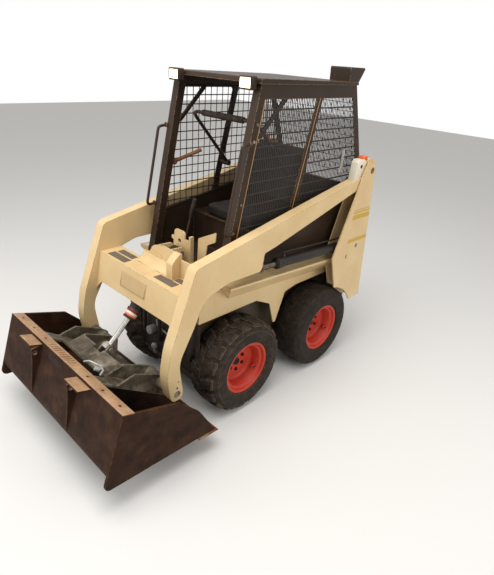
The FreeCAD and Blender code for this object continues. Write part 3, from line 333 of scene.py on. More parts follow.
def dustyRubber(name, colour, patchColour, edgeColour):
    # moulded tyre rubber: matt, patchy dust, paler where the tread blocks' edges rub, fine 1.5 mm grain; with
    # the front tyres' colours the patches and edges are also a painted highlight
    finish, tree = newFinish(name, colour)
    dust = patches(tree, 28.0, 0.42, 0.72, 6.0, 0.7)
    rubbed = patches(tree, 55.0, 0.35, 0.6, 3.0, least=0.15, most=0.8)
    coat(tree, {
        "Base Color": layers(tree, colour, (patchColour, dust, 0.45),
            (edgeColour, wornEdge(tree, 0.006), rubbed)),
        "Roughness": 0.82, "Specular IOR Level": 0.25,
        "Normal": addNode(tree, "Bump", {"Height": grain(tree, 650.0, 3.0, 0.6), "Distance": 0.0008,
            "Strength": 0.5}),
    })
    return finish


# front tyres: the pale patches and tread edges are dust and rubbing, and partly a painted highlight on the
# lit tops of the tread
tyreRubberWithHighlight = dustyRubber("dustyTyreRubberWithHighlight", "#211B15", "#5A4A3B", "#7C6950")
wornRubber = dustyRubber("wornTyreRubber", "#1E1812", "#463A2E", "#3A3025")


def rustedPlate(name, rust, lightRust, scoured, scouredShare, roughness):
    # hot-rolled plate left outdoors: layered rust blooms of 10 to 60 mm, pitted 2 mm grain,
    # scoured to bare metal where earth rubs it
    finish, tree = newFinish(name, rust)
    rub = patches(tree, 9.0, 0.5, 0.66, 5.0, 0.6, most=scouredShare)
    edge = addNode(tree, "Math", {0: wornEdge(tree, 0.006),
        1: patches(tree, 70.0, 0.4, 0.6, 4.0, 0.7, most=0.8)}, operation="MULTIPLY")
    bare = addNode(tree, "Math", {0: rub, 1: edge}, operation="MAXIMUM")
    coat(tree, {
        "Base Color": layers(tree, rust, (lightRust, patches(tree, 14.0, 0.36, 0.66, 8.0, 0.72)),
            (scoured, bare)),
        "Metallic": addNode(tree, "MapRange", {"Value": bare, "To Max": 0.75}),
        "Roughness": addNode(tree, "MapRange", {"Value": bare, "To Min": roughness, "To Max": 0.45}),
        "Normal": addNode(tree, "Bump", {"Height": grain(tree, 420.0, 4.0, 0.7), "Distance": 0.0012,
            "Strength": 0.6}),
        "Specular IOR Level": 0.15,
    })
    return finish


bucketRust = rustedPlate("rustedBucketPlate", "#1F0F07", "#382011", "#6A4A32", 0.16, 0.72)
edgeSteel = rustedPlate("scouredEdgeSteel", "#4A2C1C", "#7A4A2C", "#A89078", 0.9, 0.6)
frameSteel = rustedPlate("oilyFrameSteel", "#3C3428", "#63594A", "#B5A994", 0.5, 0.55)
pinSteel = rustedPlate("greasedPinSteel", "#5A4A3C", "#6E5A46", "#A8A098", 0.8, 0.42)
# also used as painted shade for the dark discs and strips that stand for holes and slots
boltSteelAndHoleShade = rustedPlate("blackBoltSteelAndHoleShade", "#1C1815", "#2A231E", "#4A443E", 0.3, 0.55)
# the rail's steel is rubbed bright and also painted paler as a painted highlight
railSteelRubbedAndLit = rustedPlate("rubbedLitRailSteel", "#8A6648", "#AD8A68", "#C8AC8C", 0.45, 0.6)
rustedBar = rustedPlate("flakyRustedBar", "#5E3A24", "#8A5C3A", "#A08068", 0.2, 0.8)
brightSteel = rustedPlate("zincPlatedSteel", "#8C8A86", "#9C9890", "#D0CEC8", 0.6, 0.4)
castIron = rustedPlate("oiledCastIron", "#2A2826", "#3A3430", "#5A5652", 0.3, 0.6)


def chromedRod(name, colour, smeared):
    # hard-chromed piston rod: mirror bright, with a thin smear of dark oil
    finish, tree = newFinish(name, colour)
    smear = patches(tree, 30.0, 0.4, 0.75, 5.0, 0.65, most=smeared)
    coat(tree, {
        "Base Color": layers(tree, colour, ("#4A3C2E", smear)), "Metallic": 1.0,
        "Roughness": addNode(tree, "MapRange", {"Value": smear, "From Max": 0.6, "To Min": 0.12,
            "To Max": 0.4}),
    })
    return finish


rodChrome = chromedRod("chromedPistonRod", "#D0CCC4", 0.6)
oilyRod = chromedRod("oilyPistonRod", "#7A6E62", 0.9)

# coated seat fabric: soft sheen over a leather-like 2 mm grain
blackVinyl, tree = newFinish("blackSeatVinyl", "#1A1511")
place = addNode(tree, "TexCoord", take="Object")
cells = addNode(tree, "TexVoronoi", {"Vector": place, "Scale": 420.0}, "Distance")
coat(tree, {"Base Color": "#1A1511", "Roughness": 0.6, "Specular IOR Level": 0.25,
    "Normal": addNode(tree, "Bump", {"Height": cells, "Distance": 0.0005, "Strength": 0.5})})

# frosted lamp glass, switched on
litGlass, tree = newFinish("litLampGlass", "#FFF6E4")
coat(tree, {"Base Color": "#FFF6E4", "Roughness": 0.2, "Emission Color": "#FFE9C4", "Emission Strength": 6.0})

for finish, names in (
    (greasyShadedFrame, "main_frame"),
    (stripedEnamel, "uprights"),
    (creamEnamel, "arm_left arm_right cross_member fender_beams front_bracket"),
    (creamEnamel, "tailgate rear_hood tailgate_hinges"),
    (cabEnamel, "cab_shell cab_roof grab_handles seat_bar seat_pan steering_levers foot_pedals rear_bumper"),
    (cabEnamel, "work_lights side_screens rear_screen"),
    (wheelEnamel, "rim_front_left rim_front_right rim_rear_left rim_rear_right"),
    (tyreRubberWithHighlight, "tyre_front_left tyre_front_right"),
    (wornRubber, "tyre_rear_left tyre_rear_right"),
    (bucketRust, "bucket_shell bucket_brackets"),
    (edgeSteel, "cutting_edge"),
    (frameSteel, "attach_frame axle_hubs"),
    (rodChrome, "tilt_rod"),
    (oilyRod, "lift_rod_left lift_rod_right"),
    (cylinderEnamel, "lift_barrel_left lift_barrel_right tilt_barrel"),
    (pinSteel, "arm_pivot_pins lift_base_pins foot_pins tilt_base_pin tilt_eye_pins"),
    (castIron, "engine_block"),
    (blackVinyl, "seat_cushion seat_back"),
):
    for name in names.split():
        mesh = nodes[name].data
        mesh.materials.clear()
        mesh.materials.append(finish)
print("finishes")


# Making pieces; places are in the part's millimetres


def choose(piece):
    deselectAll()
    piece.select_set(True)
    bpy.context.view_layer.objects.active = piece


def settle(piece, name):
    # its place goes into its mesh, so that the object itself sits at the origin
    choose(piece)
    bpy.ops.object.transform_apply(location=True, rotation=True, scale=True)
    piece.name = name
    piece.data.name = name
    return piece


def applied(piece, kind, **settings):
    # the piece with a modifier of this kind made final
    choose(piece)
    modifier = piece.modifiers.new(kind.lower(), kind)
    for name, value in settings.items():
        setattr(modifier, name, value)
    bpy.ops.object.modifier_apply(modifier=modifier.name)
    return piece


def roundOff(piece, width, segments=2, angle=38.0):
    return applied(piece, "BEVEL", width=width / 1000, segments=segments, limit_method="ANGLE",
        angle_limit=math.radians(angle))


def editAll(piece):
    choose(piece)
    bpy.ops.object.mode_set(mode="EDIT")
    bpy.ops.mesh.select_all(action="SELECT")


def endEdit():
    # every face turned right side out
    bpy.ops.mesh.select_all(action="SELECT")
    bpy.ops.mesh.normals_make_consistent(inside=False)
    bpy.ops.object.mode_set(mode="OBJECT")


def panelRecess(piece, test, margin, depth):
    # a sunk (depth below 0) or raised panel in the faces whose middle and normal pass the test
    choose(piece)
    bpy.ops.object.mode_set(mode="EDIT")
    bpy.ops.mesh.select_mode(type="FACE")
    bpy.ops.mesh.select_all(action="DESELECT")
    mesh = bmesh.from_edit_mesh(piece.data)
    for face in mesh.faces:
        face.select_set(test(face.calc_center_median(), face.normal))
    bmesh.update_edit_mesh(piece.data)
    bpy.ops.mesh.inset(thickness=margin / 1000, depth=depth / 1000)
    endEdit()
    return piece


def boxPiece(name, low, high, rounding=0.0, segments=2):
    near, far = at(*low), at(*high)
    piece = made(bpy.ops.mesh.primitive_cube_add, size=1, location=(near + far) / 2)
    piece.scale = [abs(far[i] - near[i]) for i in range(3)]
    settle(piece, name)
    return roundOff(piece, rounding, segments) if rounding else piece


def roundPiece(name, start, end, radius, sides=32, rounding=0.0, endRadius=None):
    # a bar, collar or bolt between two points
    near, far = at(*start), at(*end)
    along = far - near
    piece = made(bpy.ops.mesh.primitive_cone_add, vertices=sides, radius1=radius / 1000,
        radius2=(radius if endRadius is None else endRadius) / 1000, depth=along.length,
        location=(near + far) / 2)
    piece.rotation_euler = along.to_track_quat("Z", "Y").to_euler()
    settle(piece, name)
    return roundOff(piece, rounding) if rounding else piece


def ringOf(places, fill):
    # a closed line of vertices at places in metres
    piece = made(bpy.ops.mesh.primitive_circle_add, vertices=len(places), radius=0.1, fill_type=fill,
        location=(0, 0, 0))
    for vertex, place in zip(piece.data.vertices, places):
        vertex.co = place
    return piece


def sheetPiece(name, outline, through, rounding=0.0):
    # a flat outline of points, extruded by the vector through
    piece = ringOf([at(*point) for point in outline], "NGON")
    editAll(piece)
    bpy.ops.mesh.extrude_region_move(TRANSFORM_OT_translate={"value": [v / 1000 for v in through]})
    endEdit()
    settle(piece, name)
    return roundOff(piece, rounding) if rounding else piece


def sidePiece(name, x, outline, thickness, rounding=0.0):
    # an outline of (y, z) at one x, extruded across the machine
    return sheetPiece(name, [(x, y, z) for y, z in outline], (thickness, 0, 0), rounding)


def spunPiece(name, section, centre, steps):
    # a closed section of (across, radius) swept once round an axle along x
    axle = at(*centre)
    piece = ringOf([axle + Vector((across / 1000, 0, radius / 1000)) for across, radius in section],
        "NOTHING")
    editAll(piece)
    bpy.ops.mesh.spin(steps=steps, angle=2 * math.pi, center=axle, axis=(1, 0, 0))
    bpy.ops.mesh.select_all(action="SELECT")
    bpy.ops.mesh.remove_doubles(threshold=0.00002)
    endEdit()
    return settle(piece, name)


def roundedPath(points, bend, stepsPerBend=6):
    # the points in metres, each inner corner replaced by an arc
    path = [points[0]]
    for before, here, after in zip(points, points[1:], points[2:]):
        toBefore, toAfter = (before - here).normalized(), (after - here).normalized()
        half = toBefore.angle(toAfter) / 2
        reach = min(bend / math.tan(half), 0.45 * (before - here).length, 0.45 * (after - here).length)
        entry, leave = here + toBefore * reach, here + toAfter * reach
        for i in range(stepsPerBend + 1):
            t = i / stepsPerBend
            path.append(entry.lerp(here, t).lerp(here.lerp(leave, t), t))
    path.append(points[-1])
    return path


def tubePiece(name, points, radius, bend=30.0):
    # a bar or hose along points, swept and made a mesh
    path = roundedPath([at(*point) for point in points], bend / 1000)
    curve = bpy.data.curves.new(name, "CURVE")
    curve.dimensions = "3D"
    curve.bevel_depth = radius / 1000
    curve.bevel_resolution = 4
    curve.use_fill_caps = True
    line = curve.splines.new("POLY")
    line.points.add(len(path) - 1)
    for point, place in zip(line.points, path):
        point.co = (place.x, place.y, place.z, 1.0)
    piece = bpy.data.objects.new(name, curve)
    scene.collection.objects.link(piece)
    choose(piece)
    bpy.ops.object.convert(target="MESH")
    piece = bpy.context.object
    editAll(piece)
    endEdit()
    return settle(piece, name)


def joined(name, pieces):
    choose(pieces[0])
    for piece in pieces:
        piece.select_set(True)
    bpy.ops.object.join()
    return settle(bpy.context.object, name)


def arrayedRound(piece, centre, count):
    # equal copies about an axle along x, each turned a share of the full circle
    axle = at(*centre)
    name = piece.name
    marker = made(bpy.ops.object.empty_add, location=axle, rotation=(2 * math.pi / count, 0, 0))
    choose(piece)
    scene.cursor.location = axle
    bpy.ops.object.origin_set(type="ORIGIN_CURSOR")
    applied(piece, "ARRAY", count=count, use_relative_offset=False, use_object_offset=True,
        offset_object=marker)
    bpy.data.objects.remove(marker)
    scene.cursor.location = (0, 0, 0)
    return settle(piece, name)


def mirroredOf(piece, name):
    # the same shape on the machine's other side, with a mesh of its own, turned right side out
    twin = piece.copy()
    twin.data = piece.data.copy()
    scene.collection.objects.link(twin)
    twin.scale = (-1, 1, 1)
    settle(twin, name)
    editAll(twin)
    endEdit()
    return twin


def give(piece, finish, body, slotName, *replaced, smooth=35.0):
    # finish and body of a finished piece; the slot name is not used
    piece.data.materials.clear()
    piece.data.materials.append(finish)
    piece.data.shade_smooth()
    piece.data.set_sharp_from_angle(angle=math.radians(smooth))
    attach(piece, body)
    if replaced:
        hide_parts(*replaced)
    return piece


# Wheels

wheelSizes = {
    "axleZ": 286.0, "halfBase": 360.5, "tyreX": 337.0, "tyreSteps": 112, "rimSteps": 88,
    "boltCircle": 55.0, "boltCount": 6, "boltRadius": 8.5, "hubRadius": 21.0, "discX": 2.0,
    "valveAngle": -28.0,
}


def bothWays(rows):
    # rows of (across, radius) from the bead out to the crown, closed by their mirror image
    return rows + [(-across, radius) for across, radius in rows[::-1]]


def lugBlock(name, side, axle, size):
    # one tread block: slants back from the middle of the tread and ends in a chamfered shoulder
    x0, x1, slant, half, base, top = (size[k] for k in ("inner", "outer", "lean", "half", "foot", "top"))
    outline = [(x0, -half), (x0 + 30, -half + slant * 0.2), (x0 + 40, -half + slant * 0.75),
        (x1, -half + slant), (x1, half + slant), (x0 + 44, half + slant * 0.75),
        (x0 + 34, half + slant * 0.2), (x0, half)]
    middle = wheelSizes["tyreX"]
    points = [(middle + side * x, axle[1] + y, base + axle[2]) for x, y in outline]
    piece = sheetPiece(name, points, (0, 0, top - base))
    # the block bends round the tyre, and its shoulder end drops with the carcass
    limit = at(middle + side * (x1 - 1), 0, 0).x
    reach = top / 1000
    for vertex in piece.data.vertices:
        ahead = vertex.co.y - at(*axle).y
        vertex.co.z -= reach - math.sqrt(reach ** 2 - ahead ** 2)
        if side * (vertex.co.x - limit) > 0:
            vertex.co.z -= size["drop"]
    return roundOff(piece, size["round"], 2, 30)


def makeTyre(name, y, section, lug):
    centre = (wheelSizes["tyreX"], y, wheelSizes["axleZ"])
    body = spunPiece(name, bothWays(section), centre, wheelSizes["tyreSteps"])
    rows = []
    for side in (1, -1):
        piece = lugBlock(name + "Lug", side, centre, lug)
        choose(piece)
        bpy.ops.transform.rotate(value=math.pi / lug["count"] * (side > 0), orient_axis="X",
            center_override=at(*centre))
        settle(piece, piece.name)
        rows.append(arrayedRound(piece, centre, lug["count"]))
    return joined(name, [body] + rows)


lugged = {  # the shoulder drops by metres, the rest is in millimetres
    "foot": 262.0, "top": 284.4, "inner": 3.0, "outer": 88.0, "half": 34.0, "lean": 26.0, "round": 3.0,
    "drop": 0.0075, "count": 17,
}
wornLugs = dict(lugged, foot=270.0, top=285.0, half=27.5, lean=22.0, round=2.2)
sidewall = [(87.9, 153.5), (89.0, 161.0), (93.0, 164.5), (99.0, 166.0), (103.5, 172.0), (104.5, 176.0),
    (106.5, 190.0), (107.6, 206.0), (107.6, 220.0), (106.0, 232.0), (106.8, 234.0), (106.4, 238.0),
    (104.4, 240.0)]
freshSection = sidewall + [(101.0, 250.0), (93.0, 260.0), (84.0, 265.0), (60.0, 268.0), (30.0, 269.5)]
wornSection = sidewall + [(101.6, 252.0), (96.0, 266.0), (87.0, 275.0), (76.0, 279.0), (40.0, 281.5),
    (10.0, 282.0)]


def makeRim(name, y):
    # pressed wheel: rolled flanges, a stepped well and a flat disc deep inside, bolted to its hub
    discX = wheelSizes["discX"]
    section = [
        (91.5, 163.0), (93.6, 161.5), (94.0, 158.0), (92.5, 149.0), (88.0, 146.0), (84.0, 144.5),
        (78.0, 144.0),
        (74.0, 141.5), (71.5, 137.0), (70.0, 131.0), (66.0, 128.0), (24.0, 120.5), (14.0, 118.0),
        (8.0, 113.0),
        (discX + 1, 105.0), (discX, 100.0), (discX, 25.0), (discX - 6, 25.0), (discX - 6, 104.0),
        (0.0, 122.0),
        (-8.0, 134.0), (-20.0, 145.5), (-84.0, 145.5), (-91.0, 150.0), (-94.0, 158.0), (-93.6, 161.5),
        (-91.5, 163.0), (-89.0, 161.5), (-87.5, 152.0), (87.5, 152.0), (89.0, 161.5),
    ]
    centre = (wheelSizes["tyreX"], y, wheelSizes["axleZ"])
    body = spunPiece(name, section, centre, wheelSizes["rimSteps"])
    # valve opening in the well's slope, with its raised lip
    angle = math.radians(wheelSizes["valveAngle"])
    x = wheelSizes["tyreX"]
    place = Vector((x + 40, y + 123 * math.cos(angle), wheelSizes["axleZ"] + 123 * math.sin(angle)))
    out = Vector((18, -14 * math.cos(angle), -14 * math.sin(angle)))
    lip = roundPiece(name + "ValveLip", place, place + out, 13, 24, 1.5, 10)
    return joined(name, [body, lip])


def makeWheelBolts(name, y):
    # hexagon bolts on washers round a domed hub cap; the wheel's valve sits in its lip
    x = wheelSizes["tyreX"] + wheelSizes["discX"]
    z = wheelSizes["axleZ"]
    pieces = []
    for i in range(wheelSizes["boltCount"]):
        angle = 2 * math.pi * (i + 0.5) / wheelSizes["boltCount"]
        circle = wheelSizes["boltCircle"]
        by, bz = y + circle * math.cos(angle), z + circle * math.sin(angle)
        radius = wheelSizes["boltRadius"]
        pieces.append(roundPiece(name, (x - 0.5, by, bz), (x + 2.5, by, bz), radius + 3.5, 24, 0.5))
        pieces.append(roundPiece(name, (x + 2, by, bz), (x + 11, by, bz), radius, 6, 1.0))
    cap = roundPiece(name, (x - 1, y, z), (x + 9, y, z), wheelSizes["hubRadius"], 32, 2.5)
    pieces.append(panelRecess(cap, lambda middle, normal: normal.x > 0.9, 7, -3))
    angle = math.radians(wheelSizes["valveAngle"])
    stem = Vector((x + 44, y + 114 * math.cos(angle), z + 114 * math.sin(angle)))
    pieces.append(roundPiece(name, stem, stem + Vector((24, -5, 3)), 4, 16, 1.0))
    return joined(name, pieces)


for end, sign, section, lug, rubber in (("front", -1, freshSection, lugged, tyreRubberWithHighlight),
        ("rear", 1, wornSection, wornLugs, wornRubber)):
    y = sign * wheelSizes["halfBase"]
    tyre = makeTyre("tyreMoulded" + end, y, section, lug)
    rim = makeRim("rimPressed" + end, y)
    bolts = makeWheelBolts("wheelBolts" + end, y)
    for piece, finish, slotName, replaced in ((tyre, rubber, "tyre_rubber", "tyre_"),
            (rim, wheelEnamel, "rim_paint", "rim_"), (bolts, boltSteelAndHoleShade, "pin_steel", None)):
        twin = mirroredOf(piece, piece.name + "Right")
        piece.name += "Left"
        for shape, side in ((piece, "left"), (twin, "right")):
            names = [replaced + end + "_" + side] if replaced else []
            give(shape, finish, "wheel_" + end + "_" + side, slotName, *names)
print("wheels")


# Cab screens and fittings

cabSizes = {
    "floorZ": 800.0, "waistZ": 1230.0, "headZ": 1740.0, "roofZ": 1808.0, "screenX": 320.7,
    "slotPitch": (14.0, 58.0), "slotBar": 11.4, "meshPitch": (46.0, 50.0), "meshBar": 9.0,
    "rearBar": 5.0, "frontLean": 11.7, "rearLean": 20.0,
}


def cabFront(z):
    return -505 + (z - cabSizes["floorZ"]) * math.tan(math.radians(cabSizes["frontLean"]))


def cabRear(z):
    return 512 + (cabSizes["roofZ"] - z) * math.tan(math.radians(cabSizes["rearLean"]))


def screenPanel(name, outline, place, pitch, bar, flatness):
    # a sheet of grid cells cut back to the outline, its lines then thickened into bars
    low = [min(p[i] for p in outline) for i in (0, 1)]
    high = [max(p[i] for p in outline) for i in (0, 1)]
    counts = [max(2, round((high[i] - low[i]) / pitch[i])) for i in (0, 1)]
    piece = made(bpy.ops.mesh.primitive_grid_add, x_subdivisions=counts[0], y_subdivisions=counts[1], size=1,
        location=(0, 0, 0))
    for vertex in piece.data.vertices:
        u = low[0] + (vertex.co.x + 0.5) * (high[0] - low[0])
        v = low[1] + (vertex.co.y + 0.5) * (high[1] - low[1])
        vertex.co = at(*place(u, v))
    middle = [sum(p[i] for p in outline) / len(outline) for i in (0, 1)]
    corner = at(*place(*low))
    facing = (at(*place(low[0] + 1, low[1])) - corner).cross(at(*place(low[0],
        low[1] + 1)) - corner).normalized()
    editAll(piece)
    for start, end in zip(outline, outline[1:] + outline[:1]):
        near, far = at(*place(*start)), at(*place(*end))
        outward = (far - near).cross(facing).normalized()
        if outward.dot(at(*place(*middle)) - near) > 0:
            outward = -outward
        bpy.ops.mesh.select_all(action="SELECT")
        bpy.ops.mesh.bisect(plane_co=near, plane_no=outward, clear_outer=True)
    applied(piece, "WIREFRAME", thickness=bar / 1000, use_even_offset=False, use_boundary=True)
    if flatness != 1.0:
        editAll(piece)
        bpy.ops.transform.resize(value=(flatness, 1, 1), center_override=at(*place(*middle)))
    return settle(piece, name)


def makeScreens():
    half = cabSizes["screenX"]
    head, waist = cabSizes["headZ"] + 8, cabSizes["waistZ"]
    outline = [(cabFront(1050) + 52, 1050), (cabFront(head) + 52, head), (cabRear(head) - 38, head),
        (cabRear(waist + 66) - 38, waist + 66), (430, waist - 44)]
    rearOutline = [(-320, 1264), (320, 1264), (320, 1804), (-320, 1804)]
    for name, shape, place, pitch, bar, flatness, replaced in (
        ("slottedScreenLeft", outline, lambda u, v: (half, u, v), "slotPitch", "slotBar", 0.5,
            "side_screens"),
        ("meshScreenRight", outline, lambda u, v: (-half, u, v), "meshPitch", "meshBar", 0.65,
            "side_screens"),
        ("meshScreenRear", rearOutline, lambda u, v: (u, cabRear(v) - 3, v), "meshPitch", "rearBar", 1.0,
         "rear_screen"),
    ):
        screen = screenPanel(name, shape, place, cabSizes[pitch], cabSizes[bar], flatness)
        give(screen, screenEnamel, "chassis", "screen_steel", replaced)


makeScreens()

handleSizes = {"x": 334.0, "topZ": 1540.0, "lowZ": 1100.0, "reach": 56.0, "radius": 8.0}


def makeHandles():
    # bent bars on the front posts, each end through a small welded flange
    h = handleSizes
    top, low = cabFront(h["topZ"]), cabFront(h["lowZ"])
    points = [(h["x"], top + 8, h["topZ"]), (h["x"], top - h["reach"], h["topZ"] - 6),
        (h["x"], low - h["reach"], h["lowZ"] - 6), (h["x"], low + 8, h["lowZ"])]
    parts = [tubePiece("grabBar", points, h["radius"], 26)]
    for y, z in ((top, h["topZ"]), (low, h["lowZ"])):
        parts.append(roundPiece("grabFlange", (h["x"], y - 7, z), (h["x"], y - 1, z), 14, 24, 1.2))
    left = joined("grabHandleLeft", parts)
    for handle in (left, mirroredOf(left, "grabHandleRight")):
        give(handle, cabEnamel, "chassis", "dark_paint", "grab_handles")


makeHandles()

lampSizes = {"x": 270.0, "width": 86.0, "lowZ": 1778.0, "highZ": 1840.0, "frontY": -354.0, "backY": -310.0}


def makeWorkLights():
    # pressed housings with a bezel and a lit glass, on a bolted arm
    s = lampSizes
    shells, glasses = [], []
    for side in (1, -1):
        x, half = side * s["x"], s["width"] / 2
        shell = boxPiece("lampShell", (x - half, s["frontY"], s["lowZ"]), (x + half, s["backY"], s["highZ"]),
            7, 3)
        shells.append(panelRecess(shell, lambda middle,
            normal: normal.y < -0.98 and middle.y < at(0, -350, 0).y, 5, -5))
        shells.append(boxPiece("lampArm", (x - 11, s["backY"] - 4, 1812), (x + 11, -289, 1819), 2))
        shells.append(roundPiece("lampBolt", (x, -297, 1818), (x, -297, 1826), 7, 6, 1))
        glasses.append(boxPiece("lampGlass", (x - half + 9, s["frontY"] + 1.5, s["lowZ"] + 9),
            (x + half - 9, s["frontY"] + 8, s["highZ"] - 9), 2.5))
    give(joined("workLightShells", shells), cabEnamel, "chassis", "dark_paint", "work_lights")
    give(joined("workLightGlasses", glasses), litGlass, "chassis", "dark_paint")


makeWorkLights()

leverSizes = {"x": 190.0, "y": -330.0, "foot": 803.0, "radius": 9.0}
seatBarSizes = {"half": 255.0, "pinY": 68.0, "pinZ": 1300.0, "reach": 440.0, "rise": 47.0, "radius": 10.0}


def makeControls():
    # steering levers in ribbed boots with rubber grips, and the raised seat bar with its foam sleeve
    s = leverSizes
    bars, rubbers = [], []
    for side in (1, -1):
        x, y = side * s["x"], s["y"]
        bars.append(tubePiece("leverBar", [(x, y, s["foot"] + 4), (x, y, 865), (x, y + 40, 1005),
            (x - side * 20, y + 60, 1135)], s["radius"], 40))
        tip, mid = Vector((x - side * 20, y + 60, 1136)), Vector((x - side * 3, y + 43, 1025))
        rubbers.append(roundPiece("leverGrip", mid, tip, 14.5, 24, 4, 13))
        for i in range(4):
            rubbers.append(roundPiece("leverBoot", (x, y, s["foot"] + 14 * i),
                (x, y, s["foot"] + 14 * i + 13), 34 - 5.5 * i, 28, 3, 30 - 5.5 * i))
    give(joined("steeringLevers", bars), cabEnamel, "chassis", "dark_paint", "steering_levers")
    give(joined("leverRubbers", rubbers), tyreRubberWithHighlight, "chassis", "dark_paint")
    s = seatBarSizes
    half, pin, rise = s["half"], (s["pinY"], s["pinZ"]), math.radians(s["rise"])
    far = (pin[0] - s["reach"] * math.cos(rise), pin[1] + s["reach"] * math.sin(rise))
    parts = [tubePiece("seatBarTube", [(half, *pin), (half, *far), (-half, *far), (-half, *pin)], s["radius"],
        60)]
    for side in (1, -1):
        parts.append(roundPiece("seatBarBoss", (side * 243, *pin), (side * 322, *pin), 17, 28, 2))
    give(joined("seatBarFrame", parts), cabEnamel, "safety_bar", "dark_paint", "seat_bar")
    sleeve = roundPiece("seatBarSleeve", (-160, *far), (160, *far), 17, 28, 4)
    give(sleeve, tyreRubberWithHighlight, "safety_bar", "dark_paint")


makeControls()
print("cab screens and fittings")

# Seat

seatSizes = {
    "half": 205.0, "low": 1019.0, "top": 1094.0, "frontY": -173.0, "rearY": 221.0, "lean": 8.0,
    "backLow": 1096.0,
    "backTop": 1438.0, "backDepth": 72.0, "swell": 9.0, "voxel": 6.0, "pressure": 4.0, "frames": 20,
    "fill": 0.8,
}


def plumped(piece):
    # the foam pushes the cover out, no point by more than the swell
    applied(piece, "REMESH", mode="VOXEL", voxel_size=seatSizes["voxel"] / 1000)
    start = [vertex.co.copy() for vertex in piece.data.vertices]
    cover = piece.modifiers.new("cover", "CLOTH")
    cover.settings.use_pressure = True
    cover.settings.uniform_pressure_force = seatSizes["pressure"]
    cover.settings.effector_weights.gravity = 0.0
    for step in range(seatSizes["frames"]):
        scene.frame_set(step + 1)
    bpy.ops.object.modifier_apply(modifier=cover.name)
    limit = seatSizes["swell"] / 1000
    for vertex, place in zip(piece.data.vertices, start):
        move = vertex.co - place
        if move.length > limit:
            vertex.co = place + move.normalized() * limit
    scene.frame_set(1)
    return applied(piece, "SUBSURF", levels=1)


def makeSeat():
    s = seatSizes
    swell = s["swell"] + 1
    half = s["half"] - swell
    cushion = boxPiece("seatCushionPad", (-half, s["frontY"] + swell, s["low"] + 1),
        (half, s["rearY"] - swell, s["top"] - swell), 14, 3)
    slope = math.tan(math.radians(s["lean"]))

    def backAt(z):
        return 228 + (z - 1018.6) * slope
    low, top, depth = s["backLow"] + 2, s["backTop"] - swell, s["backDepth"] - swell
    outline = [(backAt(low) - 3, low), (backAt(top) - 3, top), (backAt(top) - depth, top),
        (backAt(low) - depth, low)]
    back = sidePiece("seatBackPad", -half, outline, 2 * half, 16)
    for piece, name in ((cushion, "seat_cushion"), (back, "seat_back")):
        give(plumped(piece), blackVinyl, "chassis", "seat_vinyl", name, smooth=60)


makeSeat()
print("seat")

# Softened edges of the welded and pressed parts

edgeRadii = {
    "arm_left": 9.0, "arm_right": 9.0, "cross_member": 4.0, "uprights": 2.0, "fender_beams": 3.0,
    "main_frame": 2.0,
    "front_bracket": 1.5, "tailgate": 3.0, "rear_hood": 5.0, "cab_shell": 2.0, "cab_roof": 2.5,
    "bucket_shell": 1.5,
    "bucket_brackets": 1.5, "attach_frame": 1.5, "rear_bumper": 3.0, "foot_pedals": 1.5, "seat_pan": 1.5,
}


def softenEdges():
    for name, radius in edgeRadii.items():
        node = nodes[name]
        flats = node.modifiers.new("flats", "DECIMATE")
        flats.decimate_type = "DISSOLVE"
        flats.angle_limit = math.radians(1.0)
        soft = node.modifiers.new("softEdges", "BEVEL")
        soft.width = radius / 1000
        soft.segments = 2
        soft.limit_method = "ANGLE"
        soft.angle_limit = math.radians(35)
        soft.harden_normals = False


softenEdges()
print("softened edges")

# Lift arms and cross member

armSizes = {
    "crossTopZ": 862.0, "crossFrontY": -800.0, "crossLean": 10.6, "tiltX": -20.0, "gripProud": 1.6,
    "grips": ((-318, -151, -784, -735), (-310, -166, -724, -682), (95, 250, -766, -718),
        (194, 262, -708, -672)),
    "plateLow": 744.0, "plateHigh": 826.0, "plateLeft": 92.0, "plateRight": -138.0, "plateMargin": 5.0,
    "barrelStart": 300.0, "barrelEnd": 456.0, "barrelRadius": 32.6,
}


def makeGrips():
    # four strips of coarse grit tape on the cross member, at both sides of the raised middle
    z = armSizes["crossTopZ"]
    strips = [boxPiece("gripStrip", (x0, y0, z - 0.5), (x1, y1, z + armSizes["gripProud"]), 0.8, 1) for x0,
        x1, y0, y1 in armSizes["grips"]]
    give(joined("gripStrips", strips), gritTape, "lift_arms", "dark_paint")


makeGrips()


def makeCrossTrim():
    # cover plate over the cylinder's window, the coved foot of the raised middle, and a blank framed plate
    z, y = armSizes["crossTopZ"], armSizes["crossFrontY"]
    parts = [boxPiece("windowCover", (-80, y + 22, z - 3), (40, y + 100, z + 0.6), 0.4, 1)]
    rear = y + 140
    cove = [(rear, z + 50), (rear - 2, z + 50), (rear - 6, z + 34), (rear - 14, z + 20), (rear - 28, z + 8),
        (rear - 48, z + 1), (rear - 52, z), (rear, z)]
    parts.append(sidePiece("risersCove", -141, cove, 277, 0.8))
    parts.append(boxPiece("slitCover", (-68, rear - 1.8, z + 42), (28, rear - 0.1, z + 74), 0.4, 1))
    give(joined("crossTrim", parts), creamEnamel, "lift_arms", "cream_paint")
    lean = math.tan(math.radians(armSizes["crossLean"]))

    def faceY(height):
        return y - (z - height) * lean - 0.4
    low, high, left, right = (armSizes["plate" + k] for k in ("Low", "High", "Left", "Right"))
    corners = [(right, faceY(low), low), (left, faceY(low), low), (left, faceY(high), high),
        (right, faceY(high), high)]
    plate = sheetPiece("blankPlate", corners, (0, -1.6, 0.3))
    give(plate, plateEnamel, "lift_arms", "cream_paint")
    # its painted line runs inside the plate's edge
    margin = armSizes["plateMargin"]
    inset = []
    for x, cy, cz in corners:
        upper = 1 if cz == high else -1
        inset.append((x + margin * (1 if x < 0 else -1), cy + margin * lean * upper - 1.7,
            cz - margin * upper))
    lines = [tubePiece("plateLine", [a, b], 1.3) for a, b in zip(inset, inset[1:] + inset[:1])]
    give(joined("plateFrame", lines), rubbedEdge, "lift_arms", "cream_paint")


makeCrossTrim()


